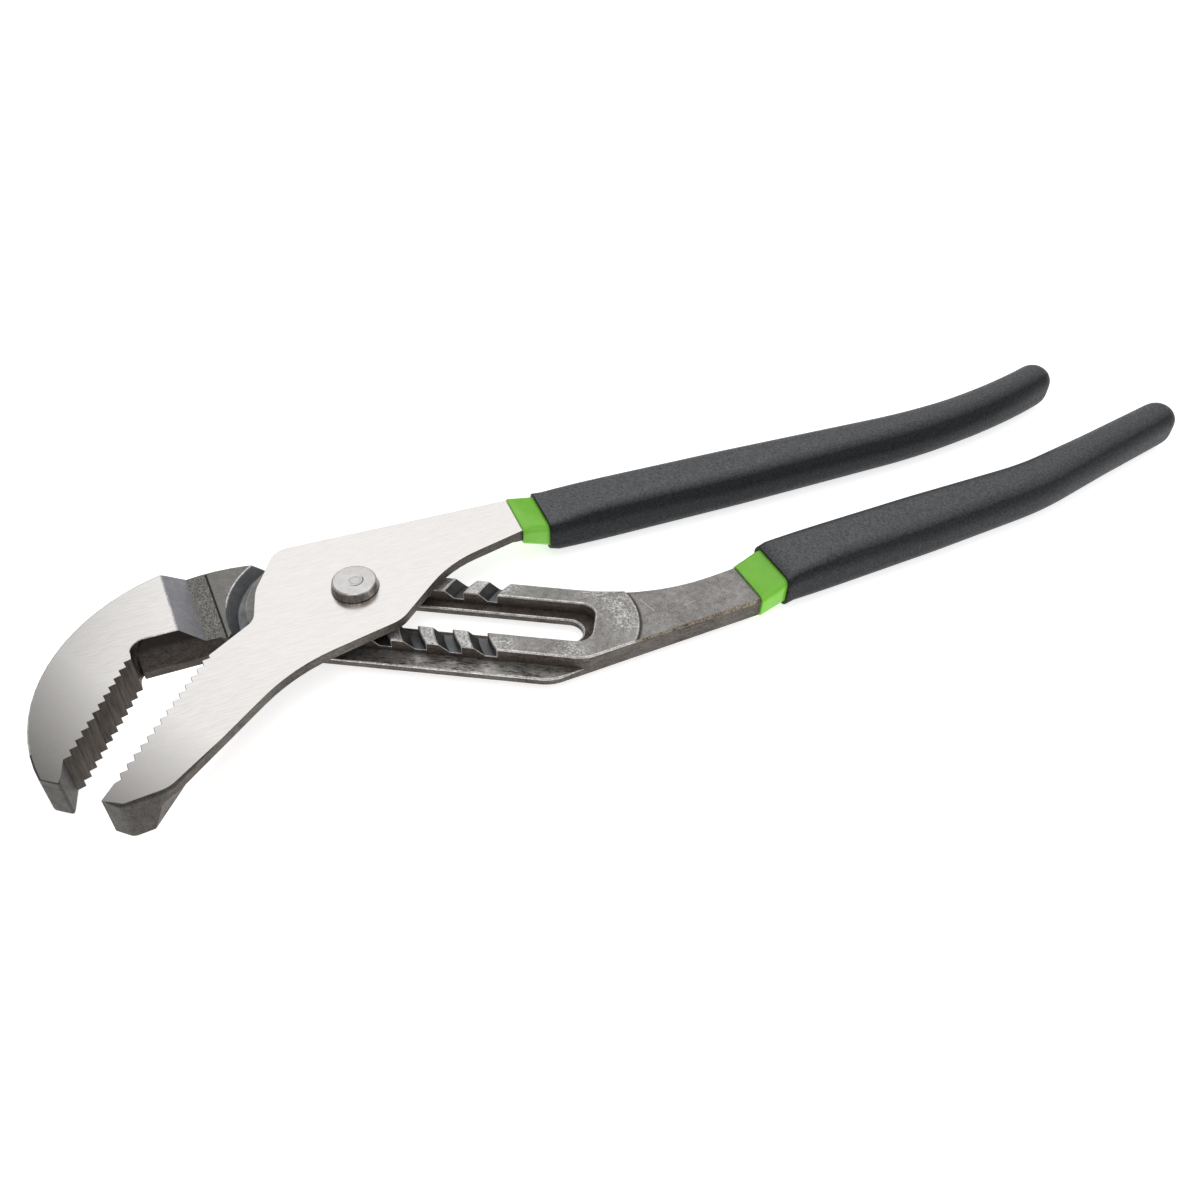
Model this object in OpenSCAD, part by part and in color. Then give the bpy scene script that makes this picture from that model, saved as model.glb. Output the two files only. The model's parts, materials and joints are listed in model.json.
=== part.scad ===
// Tongue and groove pliers: two forged halves that turn and shift on one bolt, with dipped handles.
// Layout plane: the pivot axis is at [0, 0], the slot runs along +X, and z = 0 is the jaws' ground front.

/* [Thickness] */
// Thickness of both jaws
jaw_t = 13.4; // [11.5:0.1:18]
// Thickness of the tongue half's cover plate
plate_t = 5.4; // [4.6:0.1:6.6]
// Height of the cover plate's upright edge, above its forging draft
plate_land = 3.3; // [2:0.1:4]
// How far the draft under that edge runs inward
plate_draft = 2; // [0.5:0.1:2.5]
// How far the jaws' ground backs stand proud of the shank's back
back_relief = 0.4; // [0.2:0.1:1]
// Thickness of the grooved half's base under its rails
base_t = 2.6; // [2:0.1:3.4]

/* [Pivot] */
// Diameter of the bolt's shank
bolt_d = 9.8; // [7:0.1:12]
// Diameter of the bolt's riveted end inside the nut
stud_d = 6.4; // [4:0.1:6.8]
// Diameter of the bolt's flat head behind the slot
bolt_head_d = 18; // [15:0.5:22]
// Thickness of the bolt's head
bolt_head_t = 2.8; // [2:0.1:4]
// Diameter of the round nut on the cover plate
nut_d = 14.6; // [12.4:0.1:18]
// Height of the round nut
nut_h = 3.2; // [2:0.1:5]
// Radius of the nut's rounded top edge
nut_edge = 1.1; // [0.4:0.1:1.8]
// Wall of the tongue half's boss around the bolt
boss_wall = 3.1; // [2:0.1:4]

/* [Slot, rails and grooves] */
// Distance from one groove to the next
groove_pitch = 10.9; // [9:0.1:14]
// Number of grooves
groove_n = 8; // [7:1:9]
// Radius of a groove's upright wall about its own pivot position
groove_r = 23.9; // [22:0.1:28]
// Width of a groove's flat floor
groove_floor = 2.8; // [2:0.1:3.4]
// Width of a groove's sloped wall
groove_slope = 3.2; // [2:0.1:3.6]
// Rail left standing between the base and a groove's floor
groove_land = 1.6; // [0.8:0.1:2]
// Width of the near rail
near_rail_w = 7.1; // [5:0.1:9]
// Width of the far rail
far_rail_w = 6.3; // [5:0.1:9]
// Width of the base's ledge beside the near rail
ledge_w = 5.9; // [3:0.1:8]
// Radius of the pad on which the rails' tops end, about the last pivot position
pad_r = 24.2; // [22:0.1:30]
// How far the handle's top lies below the pad
pad_step = 0.8; // [0.4:0.1:1.5]

/* [Hooked jaw] */
// Radius of the hooked jaw's round back
hook_r = 56.7; // [50:0.1:64]
// Distance from the pivot axis forward to the middle of that round back
hook_x = 21.5; // [15:0.5:28]
// Angle at which the round back ends at the nose
hook_end = 225.5; // [218:0.5:232]
// Width of the nose's flat end
hook_nose_w = 6; // [4:0.1:9]
// Distance from the pivot axis forward to the first tooth valley
hook_tooth_x = 58; // [54:0.1:62]
// Distance from the pivot axis down to the first tooth valley
hook_tooth_y = 75.4; // [70:0.1:80]
// Direction of the hooked jaw's tooth row
hook_tooth_angle = 88.6; // [80:0.1:95]
// Number of teeth on the hooked jaw
hook_teeth = 11; // [8:1:11]
// Distance of the throat's edge from the pivot axis
throat_d = 1.45; // [-1:0.05:3]
// Direction of the throat's edge
throat_angle = 29.7; // [20:0.1:36]
// Radius of the throat's corner
throat_r = 4.5; // [1.5:0.1:5]
// How far the throat's forged face leans out at its lip
throat_lip = 3.4; // [0.5:0.1:4]
// Distance from the pivot axis to the edge where the jaw's slope starts
slope_top = 53.2; // [51:0.1:56]
// Width of that slope
slope_run = 6.8; // [4:0.1:8]

/* [Straight jaw] */
// Distance of the straight jaw's tooth row from the pivot axis
jaw_row_d = 29.4; // [24:0.1:32]
// Direction of that tooth row
jaw_row_angle = 81.3; // [74:0.1:88]
// Distance along the row from the pivot's level to the last tooth at the nose
jaw_row_end = 83.2; // [78:0.1:90]
// Distance of the nose's end from the pivot axis
jaw_nose_d = 93.7; // [88:0.1:98]
// Direction of the nose's end
jaw_nose_angle = -11.9; // [-20:0.1:0]
// Distance of the jaw's outer edge from the pivot axis
outer_d = 52.4; // [48:0.1:56]
// Direction of that outer edge
outer_angle = 34; // [26:0.1:40]
// Distance of the jaw's neck from the pivot axis
neck_d = 5; // [3:0.1:8]
// Direction of the neck
neck_angle = 68.6; // [62:0.1:74]
// Distance of the plate's shoulder from the pivot axis
shoulder_d = 20.7; // [19:0.1:23]
// Direction of the shoulder
shoulder_angle = 41.9; // [36:0.1:48]
// Distance of the plate's edge before the handle from the pivot axis
hip_d = 20.6; // [19:0.1:23]
// Direction of that edge
hip_angle = 72; // [66:0.1:78]
// Direction of the plate's edge where it runs into the handle
root_angle = 43.2; // [38:0.1:48]
// Direction of the plate's far edge
plate_edge_angle = 207.6; // [205:0.1:211]
// Number of teeth on the straight jaw
jaw_teeth = 15; // [10:1:15]
// Width of the jaw's block at its back
block_w = 10.4; // [8:0.1:13]
// How much wider the block is under the cover plate
block_draft = 2.6; // [0:0.1:4]

/* [Teeth] */
// Distance from one tooth to the next
tooth_pitch = 3.23; // [2.5:0.01:3.4]
// Depth of the teeth
tooth_depth = 1.5; // [0.8:0.05:2]

/* [Handles] */
// Distance from the last pivot position to the grooved half's handle
near_handle_x = 56.9; // [54:0.1:70]
// Height of the grooved half's handle above the slot's middle, where it starts
near_handle_y = 26.8; // [22:0.1:32]
// Direction of the grooved half's handle
near_angle = 32.3; // [28:0.1:36]
// Straight length of the grooved half's handle
near_straight = 111; // [80:1:150]
// Radius of that handle's bend
near_bend_r = 156; // [120:2:400]
// Angle of that handle's bend
near_bend = 8.8; // [2:0.1:14]
// Full length of the grooved half's handle
near_len = 206.9; // [170:0.1:250]
// Distance of the tongue half's handle from the pivot axis, along the slot
far_handle_x = 42.9; // [38:0.1:50]
// Distance of the tongue half's handle from the pivot axis, across the slot
far_handle_y = 43.1; // [40:0.1:48]
// Direction of the tongue half's handle
far_angle = 28.5; // [26:0.1:32]
// Straight length of the tongue half's handle
far_straight = 146; // [100:1:170]
// Radius of that handle's bend
far_bend_r = 286; // [200:2:600]
// Angle of that handle's bend
far_bend = 17.1; // [4:0.1:19]
// Full length of the tongue half's handle
far_len = 239.7; // [200:0.1:290]
// Width of a handle's steel where it starts
tang_w = 16.9; // [14:0.1:19]
// Width of a handle's steel at its end
tang_tip_w = 9.6; // [8:0.1:14]
// Thickness of a handle's steel
tang_t = 7.6; // [6:0.1:10]
// Thickness of a handle's steel at its end
tang_tip_t = 11.4; // [5:0.1:12]

/* [Dipped coats] */
// Thickness of the inner green coat
sleeve_t = 1; // [0.6:0.05:1.6]
// Thickness of the outer black coat
grip_t = 1.2; // [0.8:0.05:2]
// Length of green coat left showing
collar_l = 9.6; // [6:0.1:14]

/* [Clearances] */
// Gap between the cover plate and the rails, and under the bolt's head and nut
face_gap = 0.2; // [0.1:0.05:0.3]
// Radial running fit of the tongue half on the bolt
bolt_fit = 0.05; // [0.02:0.01:0.1]
// Gap on each side of the bolt in the slot
slot_fit = 0.15; // [0.1:0.05:0.3]
// Gap around the boss between the rails, and outside the grooves under the plate
track_gap = 0.3; // [0.2:0.05:0.5]
// Gap between one coat and the next
coat_fit = 0.02; // [0.01:0.01:0.05]

/* [Hidden] */
$fn = 72;
ARC_STEP = 5;
EPS = 0.01;
FAR = 400;

// Levels below the jaws' front
rail_z = -(plate_t + face_gap);
base_z = -(jaw_t - back_relief);
ledge_z = base_z + base_t;
floor_z = ledge_z + groove_land;
mid_z = -jaw_t / 2;

// Slot and rails
boss_r = bolt_d / 2 + boss_wall;
slot_r = bolt_d / 2 + slot_fit;
track_r = boss_r + track_gap;
near_rail_y = -(track_r + near_rail_w);
far_rail_y = track_r + far_rail_w;
ledge_y = near_rail_y - ledge_w;
first_x = -groove_pitch;
last_x = (groove_n - 2) * groove_pitch;
groove_out = groove_r + groove_floor + groove_slope;
plate_r = groove_out + track_gap;
hook_c = [-hook_x, far_rail_y - hook_r];

// Small helpers: unit vectors, meeting lines, rounded corners and arcs
function unit(a) = [cos(a), sin(a)];
function left_of(a) = [-sin(a), cos(a)];
function mix(a, b, t) = a + (b - a) * min(max(t, 0), 1);
function cross2(u, v) = u[0] * v[1] - u[1] * v[0];
function turn(a, b) = ((b - a + 540) % 360) - 180;
function meet(p, a, q, b) = p + unit(a) * cross2(q - p, unit(b)) / cross2(unit(a), unit(b));
function arc(c, r, a, b) = let (n = ceil(abs(b - a) / ARC_STEP))
    [for (i = [0:n]) c + r * unit(a + (b - a) * i / n)];
// A corner at q between headings a and b, rounded to radius r
function corner(q, a, b, r) = let (t = turn(a, b), s = sign(t), back = r * abs(tan(t / 2)))
    r <= 0 ? [q] : arc(q + r * s * left_of(a) - back * unit(a), r, a - 90 * s, a - 90 * s + t);
// An outline of edges [heading, distance from the pivot, corner radius at its end, share of the draft],
// drawn in by the draft on the edges that have one, and by the inset on all of them
SMALL_R = 0.3;
function foot(e, draft, inset) = (e[1] - draft * e[3] - inset) * [sin(e[0]), -cos(e[0])];
function edge_outline(edges, draft = 0, inset = 0) = [for (i = [0:len(edges) - 1])
    let (e = edges[i], f = edges[(i + 1) % len(edges)], s = sign(turn(e[0], f[0])),
        r = e[2] <= 0 ? 0 : max(e[2] - s * (draft * max(e[3], f[3]) + inset), SMALL_R))
    each corner(meet(foot(e, draft, inset), e[0], foot(f, draft, inset), f[0]), e[0], f[0], r)];

// A handle is [start, heading, straight length, bend radius, bend angle, length, offset where it starts]
NEAR_SET = -1.4;
FAR_SET = -0.8;
near_handle = [[last_x + near_handle_x, near_handle_y], near_angle, near_straight, near_bend_r, near_bend,
    near_len, NEAR_SET];
far_handle = [[far_handle_x, far_handle_y], far_angle, far_straight, far_bend_r, far_bend,
    far_len, FAR_SET];
// A handle keeps its root's section for this little way, then settles to its own middle
ROOT_AT = 0.25;
SETTLE = 12;
function settled(s) = mix(0, 1, (s - ROOT_AT) / SETTLE);
function bend_l(h) = h[3] * h[4] * PI / 180;
function heading(h, s) = h[1] + mix(0, h[4], (s - h[2]) / bend_l(h));
function axis_at(h, s) = s <= h[2] ? h[0] + s * unit(h[1])
    : s <= h[2] + bend_l(h) ? axis_at(h, h[2]) + h[3] * (left_of(h[1]) - left_of(heading(h, s)))
    : axis_at(h, h[2] + bend_l(h)) + (s - h[2] - bend_l(h)) * unit(heading(h, s));
function path_at(h, s) = axis_at(h, s) + h[6] * (1 - settled(s)) * left_of(heading(h, s));
ROOT_STEP = 0.2;
function start_side(h, side) = path_at(h, 0) + side * (tang_w / 2 + ROOT_STEP) * left_of(h[1]);

// Steel under the coats: thin at its root [low, high], then centred between the jaws' faces
TAPER = 0.35;
function taper(h, s) = mix(0, 1, (s / h[5] - TAPER) / (1 - TAPER));
function steel_w(h, s) = mix(tang_w, tang_tip_w, taper(h, s));
function steel_t(h, s) = mix(tang_t, tang_tip_t, taper(h, s)) / 2;
function steel_z(h, root, s, side) = mix(root[side], mid_z + (2 * side - 1) * steel_t(h, s), settled(s));
// A handle's corners are small where it starts and grow until its end is all but round
CORNER_STEPS = 4;
STEEL_R = 1.2;
STEEL_TIP_R = 3.8;
ROUND_FROM = 0.08;
ROUND_TO = 0.85;
ROUND = 0.98;
function steel_r(h, s) = mix(STEEL_R, STEEL_TIP_R, (s / h[5] - ROUND_FROM) / (ROUND_TO - ROUND_FROM));
// One ring of a handle, grown by g, and drawn in to the share k of its size at its round end
function ring(h, root, s, g, k = 1) =
    let (low = steel_z(h, root, s, 0) - g, high = steel_z(h, root, s, 1) + g, m = (low + high) / 2,
        a = (steel_w(h, s) / 2 + g) * k, b = (high - low) / 2 * k,
        r = min(steel_r(h, s) + g, ROUND * a, ROUND * b))
    [for (q = [0:3], i = [0:CORNER_STEPS])
        let (t = 90 * q + 90 * i / CORNER_STEPS, p = [(a - r) * (q == 0 || q == 3 ? 1 : -1) + r * cos(t),
            (b - r) * (q < 2 ? 1 : -1) + r * sin(t)], o = path_at(h, s) - p[0] * left_of(heading(h, s)))
        [o[0], o[1], m + p[1]]];
// Steel and coats share these stations along a handle, so that they stay nested in its bend
RING_GAP = 9;
END_CAP = 8.5;
function stations(h, from) = let (a = 2 * SETTLE, b = h[5] - END_CAP, n = ceil((b - a) / RING_GAP))
    [from, for (s = [ROOT_AT, SETTLE / 2, SETTLE, for (i = [0:n]) a + (b - a) * i / n]) if (s > from) s];
END_STEPS = 6;
END_TURN = 84;
function round_end(h, root, g, cap) = [for (i = [1:END_STEPS]) let (t = END_TURN * i / END_STEPS)
    ring(h, root, h[5] - END_CAP + cap * sin(t), g, cos(t))];
function rings(h, root, from, g) = [for (s = stations(h, from)) ring(h, root, s, g)];
function coat_rings(h, root, from, g, cap) = concat(rings(h, root, from, g), round_end(h, root, g, cap));
function reverse(v) = [for (i = [len(v) - 1:-1:0]) v[i]];

// A skin over rings that all have as many points, with flat ends or closed on itself
module loft(rings, closed = false) {
    n = len(rings[0]);
    last = len(rings) - 1;
    sides = [for (k = [0:closed ? last : last - 1], i = [0:n - 1])
        let (j = (i + 1) % n, a = k * n, b = (k + 1) % len(rings) * n)
        each [[a + i, b + j, b + i], [a + i, a + j, b + j]]];
    ends = [[for (i = [n - 1:-1:0]) i], [for (i = [0:n - 1]) last * n + i]];
    polyhedron([for (r = rings) each r], closed ? sides : concat(sides, ends));
}

// Steel's low and high faces where each handle starts, and how far its root reaches into the plate
ROOT_IN = 3;
ROOT_INSET = 0.1;
near_root = [base_z + ROOT_INSET, rail_z - pad_step - ROOT_INSET];
far_root = [-plate_t + ROOT_INSET, -ROOT_INSET];

NOSE_R = 0.6;
// Edges of the tongue half: nose, outer edge, neck, shoulder, handle, far edge, round front, throat, teeth
jaw_row = jaw_row_angle + 180;
far_near_side = start_side(far_handle, -1);
far_far_side = start_side(far_handle, 1);
function edge_through(p, a, r, share) = [a, p * [sin(a), -cos(a)], r, share];
FRONT_DRAFT = 0.2;
FRONT_OUT = 0.3;
THROAT_EDGE = [242.8, 14.95];
FRONT_ANGLE = 287;
TIP_R = 3;
OUTER_R = 9;
JAW_NECK_R = 55;
SHOULDER_R = 12;
HIP_R = 40;
PLATE_R = 7;
FRONT_R = 20;
THROAT_R = 6;
jaw_edges = [
    [jaw_nose_angle, jaw_nose_d, TIP_R, 0],
    [outer_angle, outer_d, OUTER_R, 0],
    [neck_angle, neck_d, JAW_NECK_R, 1],
    [shoulder_angle, shoulder_d, SHOULDER_R, 1],
    [hip_angle, hip_d, HIP_R, 1],
    edge_through(far_near_side, root_angle, 0, 1),
    edge_through(path_at(far_handle, 0), far_angle + 90, 0, 0),
    edge_through(far_far_side, plate_edge_angle, PLATE_R, 1),
    [270, plate_r, FRONT_R, FRONT_DRAFT],
    [FRONT_ANGLE, plate_r + FRONT_OUT, THROAT_R, FRONT_DRAFT],
    [THROAT_EDGE[0], THROAT_EDGE[1], 0, 0],
    [jaw_row, jaw_row_d, NOSE_R, 0]];
jaw_outline = edge_outline(jaw_edges);
function at_z(points, z) = [for (p = points) [p[0], p[1], z]];

// Everything is drawn about the pivot and moved so that the origin is under the middle of the whole object
grip_g = sleeve_t + grip_t + coat_fit;
near_skin = [for (r = coat_rings(near_handle, near_root, collar_l, grip_g, END_CAP)) each r];
far_skin = [for (r = coat_rings(far_handle, far_root, collar_l, grip_g, END_CAP)) each r];
middle = [(max([for (p = near_skin) p[0]]) + hook_c[0] - hook_r) / 2,
    (max([for (p = far_skin) p[1]]) + min([for (p = jaw_outline) p[1]])) / 2];
bottom_z = base_z - face_gap - bolt_head_t;
module placed() translate([-middle[0], -middle[1], -bottom_z]) children();

// Outline of the grooved half, from the top of its round back round the nose, teeth, throat and handle
hook_row = unit(hook_tooth_angle);
hook_valley = [-hook_tooth_x, -hook_tooth_y];
hook_nose = hook_c + hook_r * unit(hook_end);
NOSE_HEADING = -6.8;
NOSE_SIDE = 104.4;
hook_tip = hook_nose + hook_nose_w * unit(NOSE_HEADING);
hook_saw = [for (i = [0:hook_teeth]) each [hook_valley + i * tooth_pitch * hook_row,
    hook_valley + (i + 0.5) * tooth_pitch * hook_row - tooth_depth * left_of(hook_tooth_angle)]];
throat_foot = -throat_d * [sin(throat_angle), -cos(throat_angle)];
last_tip = hook_saw[len(hook_saw) - 1];
THROAT_WALL = 120;
near_side = start_side(near_handle, -1);
far_side = start_side(near_handle, 1);
FLARE = 182.4;
NECK_R = 8;
LEDGE_CORNER_R = 13;
FLARE_R = 75;
grooved_outline = concat(
    arc(hook_c, hook_r, 90, hook_end),
    corner(hook_tip, NOSE_HEADING, NOSE_SIDE, NOSE_R),
    hook_saw,
    corner(meet(last_tip, THROAT_WALL, throat_foot, throat_angle), THROAT_WALL, throat_angle, throat_r),
    corner(meet(throat_foot, throat_angle, [0, ledge_y], 0), throat_angle, 0, NECK_R),
    corner(meet([0, ledge_y], 0, near_side, near_angle), 0, near_angle, LEDGE_CORNER_R),
    [near_side, far_side],
    corner(meet(far_side, near_angle + FLARE, [0, far_rail_y], 180), near_angle + FLARE, 180, FLARE_R));

// Throat's forged face leans out below the jaw's front, down to a lip
LIP_H = 3;
LIP_DRAFT = 0.3;
LIP_FROM = -66;
LIP_TO = -38;
LIP_DEPTH = 4;
module throat_face() translate(throat_foot) rotate([0, 0, throat_angle]) translate([LIP_FROM, 0, 0])
    rotate([90, 0, 90]) linear_extrude(LIP_TO - LIP_FROM) polygon([[0, 0], [LIP_DEPTH, 0],
        [LIP_DEPTH, -jaw_t], [LIP_DRAFT - throat_lip, -jaw_t], [-throat_lip, LIP_H - jaw_t]]);

// The jaw's slope runs square to this direction, and a scribed line crosses the neck beside the plate
SLOPE_ANGLE = 32.7;
SCRIBE_W = 0.35;
SCRIBE_T = 0.5;
SCRIBE_GAP = 1;
scribe_d = groove_pitch * cos(SLOPE_ANGLE) + plate_r + SCRIBE_GAP;
module slope_frame() rotate([0, 0, SLOPE_ANGLE]) rotate([90, 0, 0]) translate([0, 0, -FAR / 2])
    linear_extrude(FAR) children();

// One groove: an upright inner wall, a flat floor and a sloped outer wall, cut from above the rails' tops
GROOVE_FROM = 135;
GROOVE_TO = 225;
OVERCUT = 1;
over_r = groove_out + groove_slope * OVERCUT / (rail_z - floor_z);
module groove() rotate([0, 0, GROOVE_FROM]) rotate_extrude(angle = GROOVE_TO - GROOVE_FROM) polygon([
    [groove_r, floor_z], [groove_r + groove_floor, floor_z], [over_r, rail_z + OVERCUT],
    [groove_r, rail_z + OVERCUT]]);

LEDGE_FROM = -34;
LEDGE_R = 5;
SLOT_SPARE = 1.5;
TRACK_END_R = 5;
track_end = last_x + SLOT_SPARE + track_r;
module grooved_half() color([0.36, 0.34, 0.32]) placed() {
    difference() {
        union() {
            translate([0, 0, -jaw_t]) linear_extrude(jaw_t) polygon(grooved_outline);
            throat_face();
        }
        // Shank's top, below the jaw's slope, and its back
        slope_frame() polygon([[-slope_top, 0], [slope_run - slope_top, rail_z], [FAR, rail_z], [FAR, FAR],
            [-slope_top, FAR]]);
        slope_frame() polygon([[slope_run - slope_top, -FAR], [FAR, -FAR], [FAR, base_z],
            [slope_run - slope_top + back_relief, base_z], [slope_run - slope_top, base_z - back_relief]]);
        slope_frame() polygon([[-scribe_d - SCRIBE_W, rail_z + EPS], [-scribe_d, rail_z - SCRIBE_T],
            [-scribe_d + SCRIBE_W, rail_z + EPS]]);
        // Handle's top, a step below the round pad at the end of the rails
        difference() {
            translate([last_x, -FAR / 2, rail_z - pad_step]) cube([FAR, FAR, FAR]);
            translate([last_x, 0, base_z]) cylinder(r = pad_r, h = FAR);
        }
        // Ledge beside the near rail, which runs out through the handle's side
        translate([0, 0, ledge_z]) linear_extrude(FAR) polygon(concat(
            corner([LEDGE_FROM, near_rail_y], 90, 0, LEDGE_R),
            [[FAR, near_rail_y], [FAR, -FAR], [LEDGE_FROM, -FAR]]));
        // Slot for the bolt with round ends, wider between the rails for the boss
        translate([0, 0, -FAR / 2]) linear_extrude(FAR) polygon(concat(
            arc([first_x, 0], slot_r, 90, 270), arc([last_x + SLOT_SPARE, 0], slot_r, -90, 90)));
        translate([0, 0, ledge_z]) linear_extrude(FAR) polygon(concat(
            arc([first_x, 0], track_r, 90, 270), corner([track_end, -track_r], 0, 90, TRACK_END_R),
            corner([track_end, track_r], 90, 180, TRACK_END_R)));
        for (i = [-1:groove_n - 2]) translate([i * groove_pitch, 0, 0]) groove();
    }
    loft(rings(near_handle, near_root, -ROOT_IN, 0));
}

// Tooth row of the straight jaw, as a saw that is cut away, with a plain land at the nose
SAW_OUT = 3;
NOSE_LAND = 8;
NOSE_INSET = 0.6;
function row_at(i, depth) = jaw_row_d * [sin(jaw_row), -cos(jaw_row)]
    + (jaw_row_end - i * tooth_pitch) * unit(jaw_row) + depth * left_of(jaw_row);
module jaw_saw() linear_extrude(3 * jaw_t, center = true) polygon(concat(
    [row_at(-NOSE_LAND, -SAW_OUT), row_at(-NOSE_LAND, NOSE_INSET), row_at(-1, NOSE_INSET)],
    [for (i = [0:jaw_teeth]) each [row_at(i - 0.5, tooth_depth), row_at(i, 0)]],
    [row_at(jaw_teeth, -SAW_OUT)]));

// Full-thickness block behind the teeth, narrower at its back
module jaw_block() intersection() {
    translate([0, 0, -jaw_t]) linear_extrude(jaw_t - plate_land) polygon(jaw_outline);
    translate(row_at(0, 0)) rotate([0, 0, jaw_row_angle]) translate([-FAR / 2, 0, 0]) rotate([90, 0, 90])
        linear_extrude(FAR / 2 + jaw_teeth * tooth_pitch) polygon([[SAW_OUT, -FAR], [SAW_OUT, 0],
            [-block_w - block_draft, 0], [-block_w - block_draft, -plate_t],
            [-block_w, -jaw_t], [-block_w, -FAR]]);
}

// Lower part of the cover plate, whose edge draws in below its upright land
CORE = 2;
draft_loops = [at_z(edge_outline(jaw_edges, 0, CORE), -plate_land),
    at_z(edge_outline(jaw_edges, plate_draft, CORE), -plate_t),
    at_z(edge_outline(jaw_edges, plate_draft), -plate_t), at_z(jaw_outline, -plate_land)];
module drafted_edge() {
    loft([for (i = [0:len(jaw_outline) - 1]) [for (loop = draft_loops) loop[i]]], closed = true);
    translate([0, 0, -plate_t]) linear_extrude(plate_t - plate_land / 2)
        polygon(edge_outline(jaw_edges, plate_draft, CORE / 2));
}

module tongue_half() color([0.72, 0.71, 0.69]) placed() difference() {
    union() {
        translate([0, 0, -plate_land]) linear_extrude(plate_land) polygon(jaw_outline);
        drafted_edge();
        jaw_block();
        translate([0, 0, ledge_z + track_gap]) cylinder(r = boss_r, h = -plate_land - ledge_z - track_gap);
        loft(rings(far_handle, far_root, -ROOT_IN, 0));
    }
    jaw_saw();
    translate([0, 0, -FAR / 2]) cylinder(r = bolt_d / 2 + bolt_fit, h = FAR);
}

// Bolt: flat head behind the slot, shank through slot and boss, riveted end with a punched dimple
HEAD_CHAMFER = 1;
STUD_CHAMFER = 0.5;
STUD_RISE = 0.1;
DIMPLE = 0.6;
stud_top = face_gap + nut_h + STUD_RISE;
module pivot_bolt() color([0.6, 0.59, 0.57]) placed() rotate_extrude() polygon([
    [0, bottom_z], [bolt_head_d / 2 - HEAD_CHAMFER, bottom_z], [bolt_head_d / 2, bottom_z + HEAD_CHAMFER],
    [bolt_head_d / 2, base_z - face_gap], [bolt_d / 2, base_z - face_gap], [bolt_d / 2, face_gap],
    [stud_d / 2, face_gap], [stud_d / 2, stud_top - STUD_CHAMFER], [stud_d / 2 - STUD_CHAMFER, stud_top],
    [stud_d / 4, stud_top], [0, stud_top - DIMPLE]]);

// Round nut: a button with a rounded edge that the bolt's end is riveted into
NUT_CHAMFER = 0.4;
module pivot_nut() color([0.78, 0.77, 0.75]) placed() translate([0, 0, face_gap])
    rotate_extrude() polygon(concat(
    [[stud_d / 2 + coat_fit, 0], [nut_d / 2 - NUT_CHAMFER, 0], [nut_d / 2, NUT_CHAMFER]],
    arc([nut_d / 2 - nut_edge, nut_h - nut_edge], nut_edge, 0, 90),
    [[stud_d / 2 + NUT_CHAMFER, nut_h], [stud_d / 2 + coat_fit, nut_h - NUT_CHAMFER]]));

// A dipped coat is a sock: its skin runs up the inside, over the open edge and down the outside
LIP = 0.3;
module sock(h, root, from, g_in, g_out, cap_in, cap_out) placed() loft(concat(
    reverse(coat_rings(h, root, from, g_in, cap_in)),
    [ring(h, root, from, g_out - LIP)],
    coat_rings(h, root, from + LIP, g_out, cap_out)));

module sleeve(h, root) color([0.42, 0.75, 0.27])
    sock(h, root, coat_fit, coat_fit, sleeve_t, END_CAP / 2, END_CAP - grip_t - coat_fit);
module grip(h, root) color([0.17, 0.17, 0.18])
    sock(h, root, collar_l, sleeve_t + coat_fit, grip_g, END_CAP - grip_t, END_CAP);

module grooved_half_sleeve() sleeve(near_handle, near_root);
module grooved_half_grip() grip(near_handle, near_root);
module tongue_half_sleeve() sleeve(far_handle, far_root);
module tongue_half_grip() grip(far_handle, far_root);

grooved_half();
tongue_half();
pivot_bolt();
pivot_nut();
grooved_half_sleeve();
grooved_half_grip();
tongue_half_sleeve();
tongue_half_grip();
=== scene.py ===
# %% [markdown]
# # Tongue and groove pliers
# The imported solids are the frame: they fix every size and every joint. This lesson dresses that frame.
# The two forged halves are taken over from their solids and get worked edges and worked faces, the bolt
# and nut are turned anew, and the dipped coats are drawn along the handles again, so that they come out
# smooth.

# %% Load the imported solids
import json
import math

import bmesh
import bpy
from mathutils import Matrix, Vector


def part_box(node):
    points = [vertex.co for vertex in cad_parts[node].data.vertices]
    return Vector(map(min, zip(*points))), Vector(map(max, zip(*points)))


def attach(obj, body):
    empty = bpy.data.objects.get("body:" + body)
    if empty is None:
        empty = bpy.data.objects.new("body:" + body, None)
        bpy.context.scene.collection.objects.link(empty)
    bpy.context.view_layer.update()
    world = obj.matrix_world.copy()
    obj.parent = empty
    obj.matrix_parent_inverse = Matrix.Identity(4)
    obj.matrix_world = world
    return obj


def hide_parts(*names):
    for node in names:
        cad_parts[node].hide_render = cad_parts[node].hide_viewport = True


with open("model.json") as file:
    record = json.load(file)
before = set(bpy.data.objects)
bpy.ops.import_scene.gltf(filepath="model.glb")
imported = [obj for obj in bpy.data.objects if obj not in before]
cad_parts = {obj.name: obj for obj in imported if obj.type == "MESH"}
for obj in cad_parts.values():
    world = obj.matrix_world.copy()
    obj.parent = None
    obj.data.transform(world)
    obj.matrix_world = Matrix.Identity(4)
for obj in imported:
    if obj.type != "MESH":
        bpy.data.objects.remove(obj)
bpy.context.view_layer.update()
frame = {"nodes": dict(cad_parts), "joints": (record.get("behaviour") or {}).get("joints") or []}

# %% [markdown]
# Sizes on a drawing of a tool are in millimetres and Blender works in metres, so the tool's sizes are
# written in millimetres and multiplied by MM. Only the studio is in metres. The pivot's place comes from
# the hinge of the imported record, and the height of the jaws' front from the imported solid.

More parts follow.
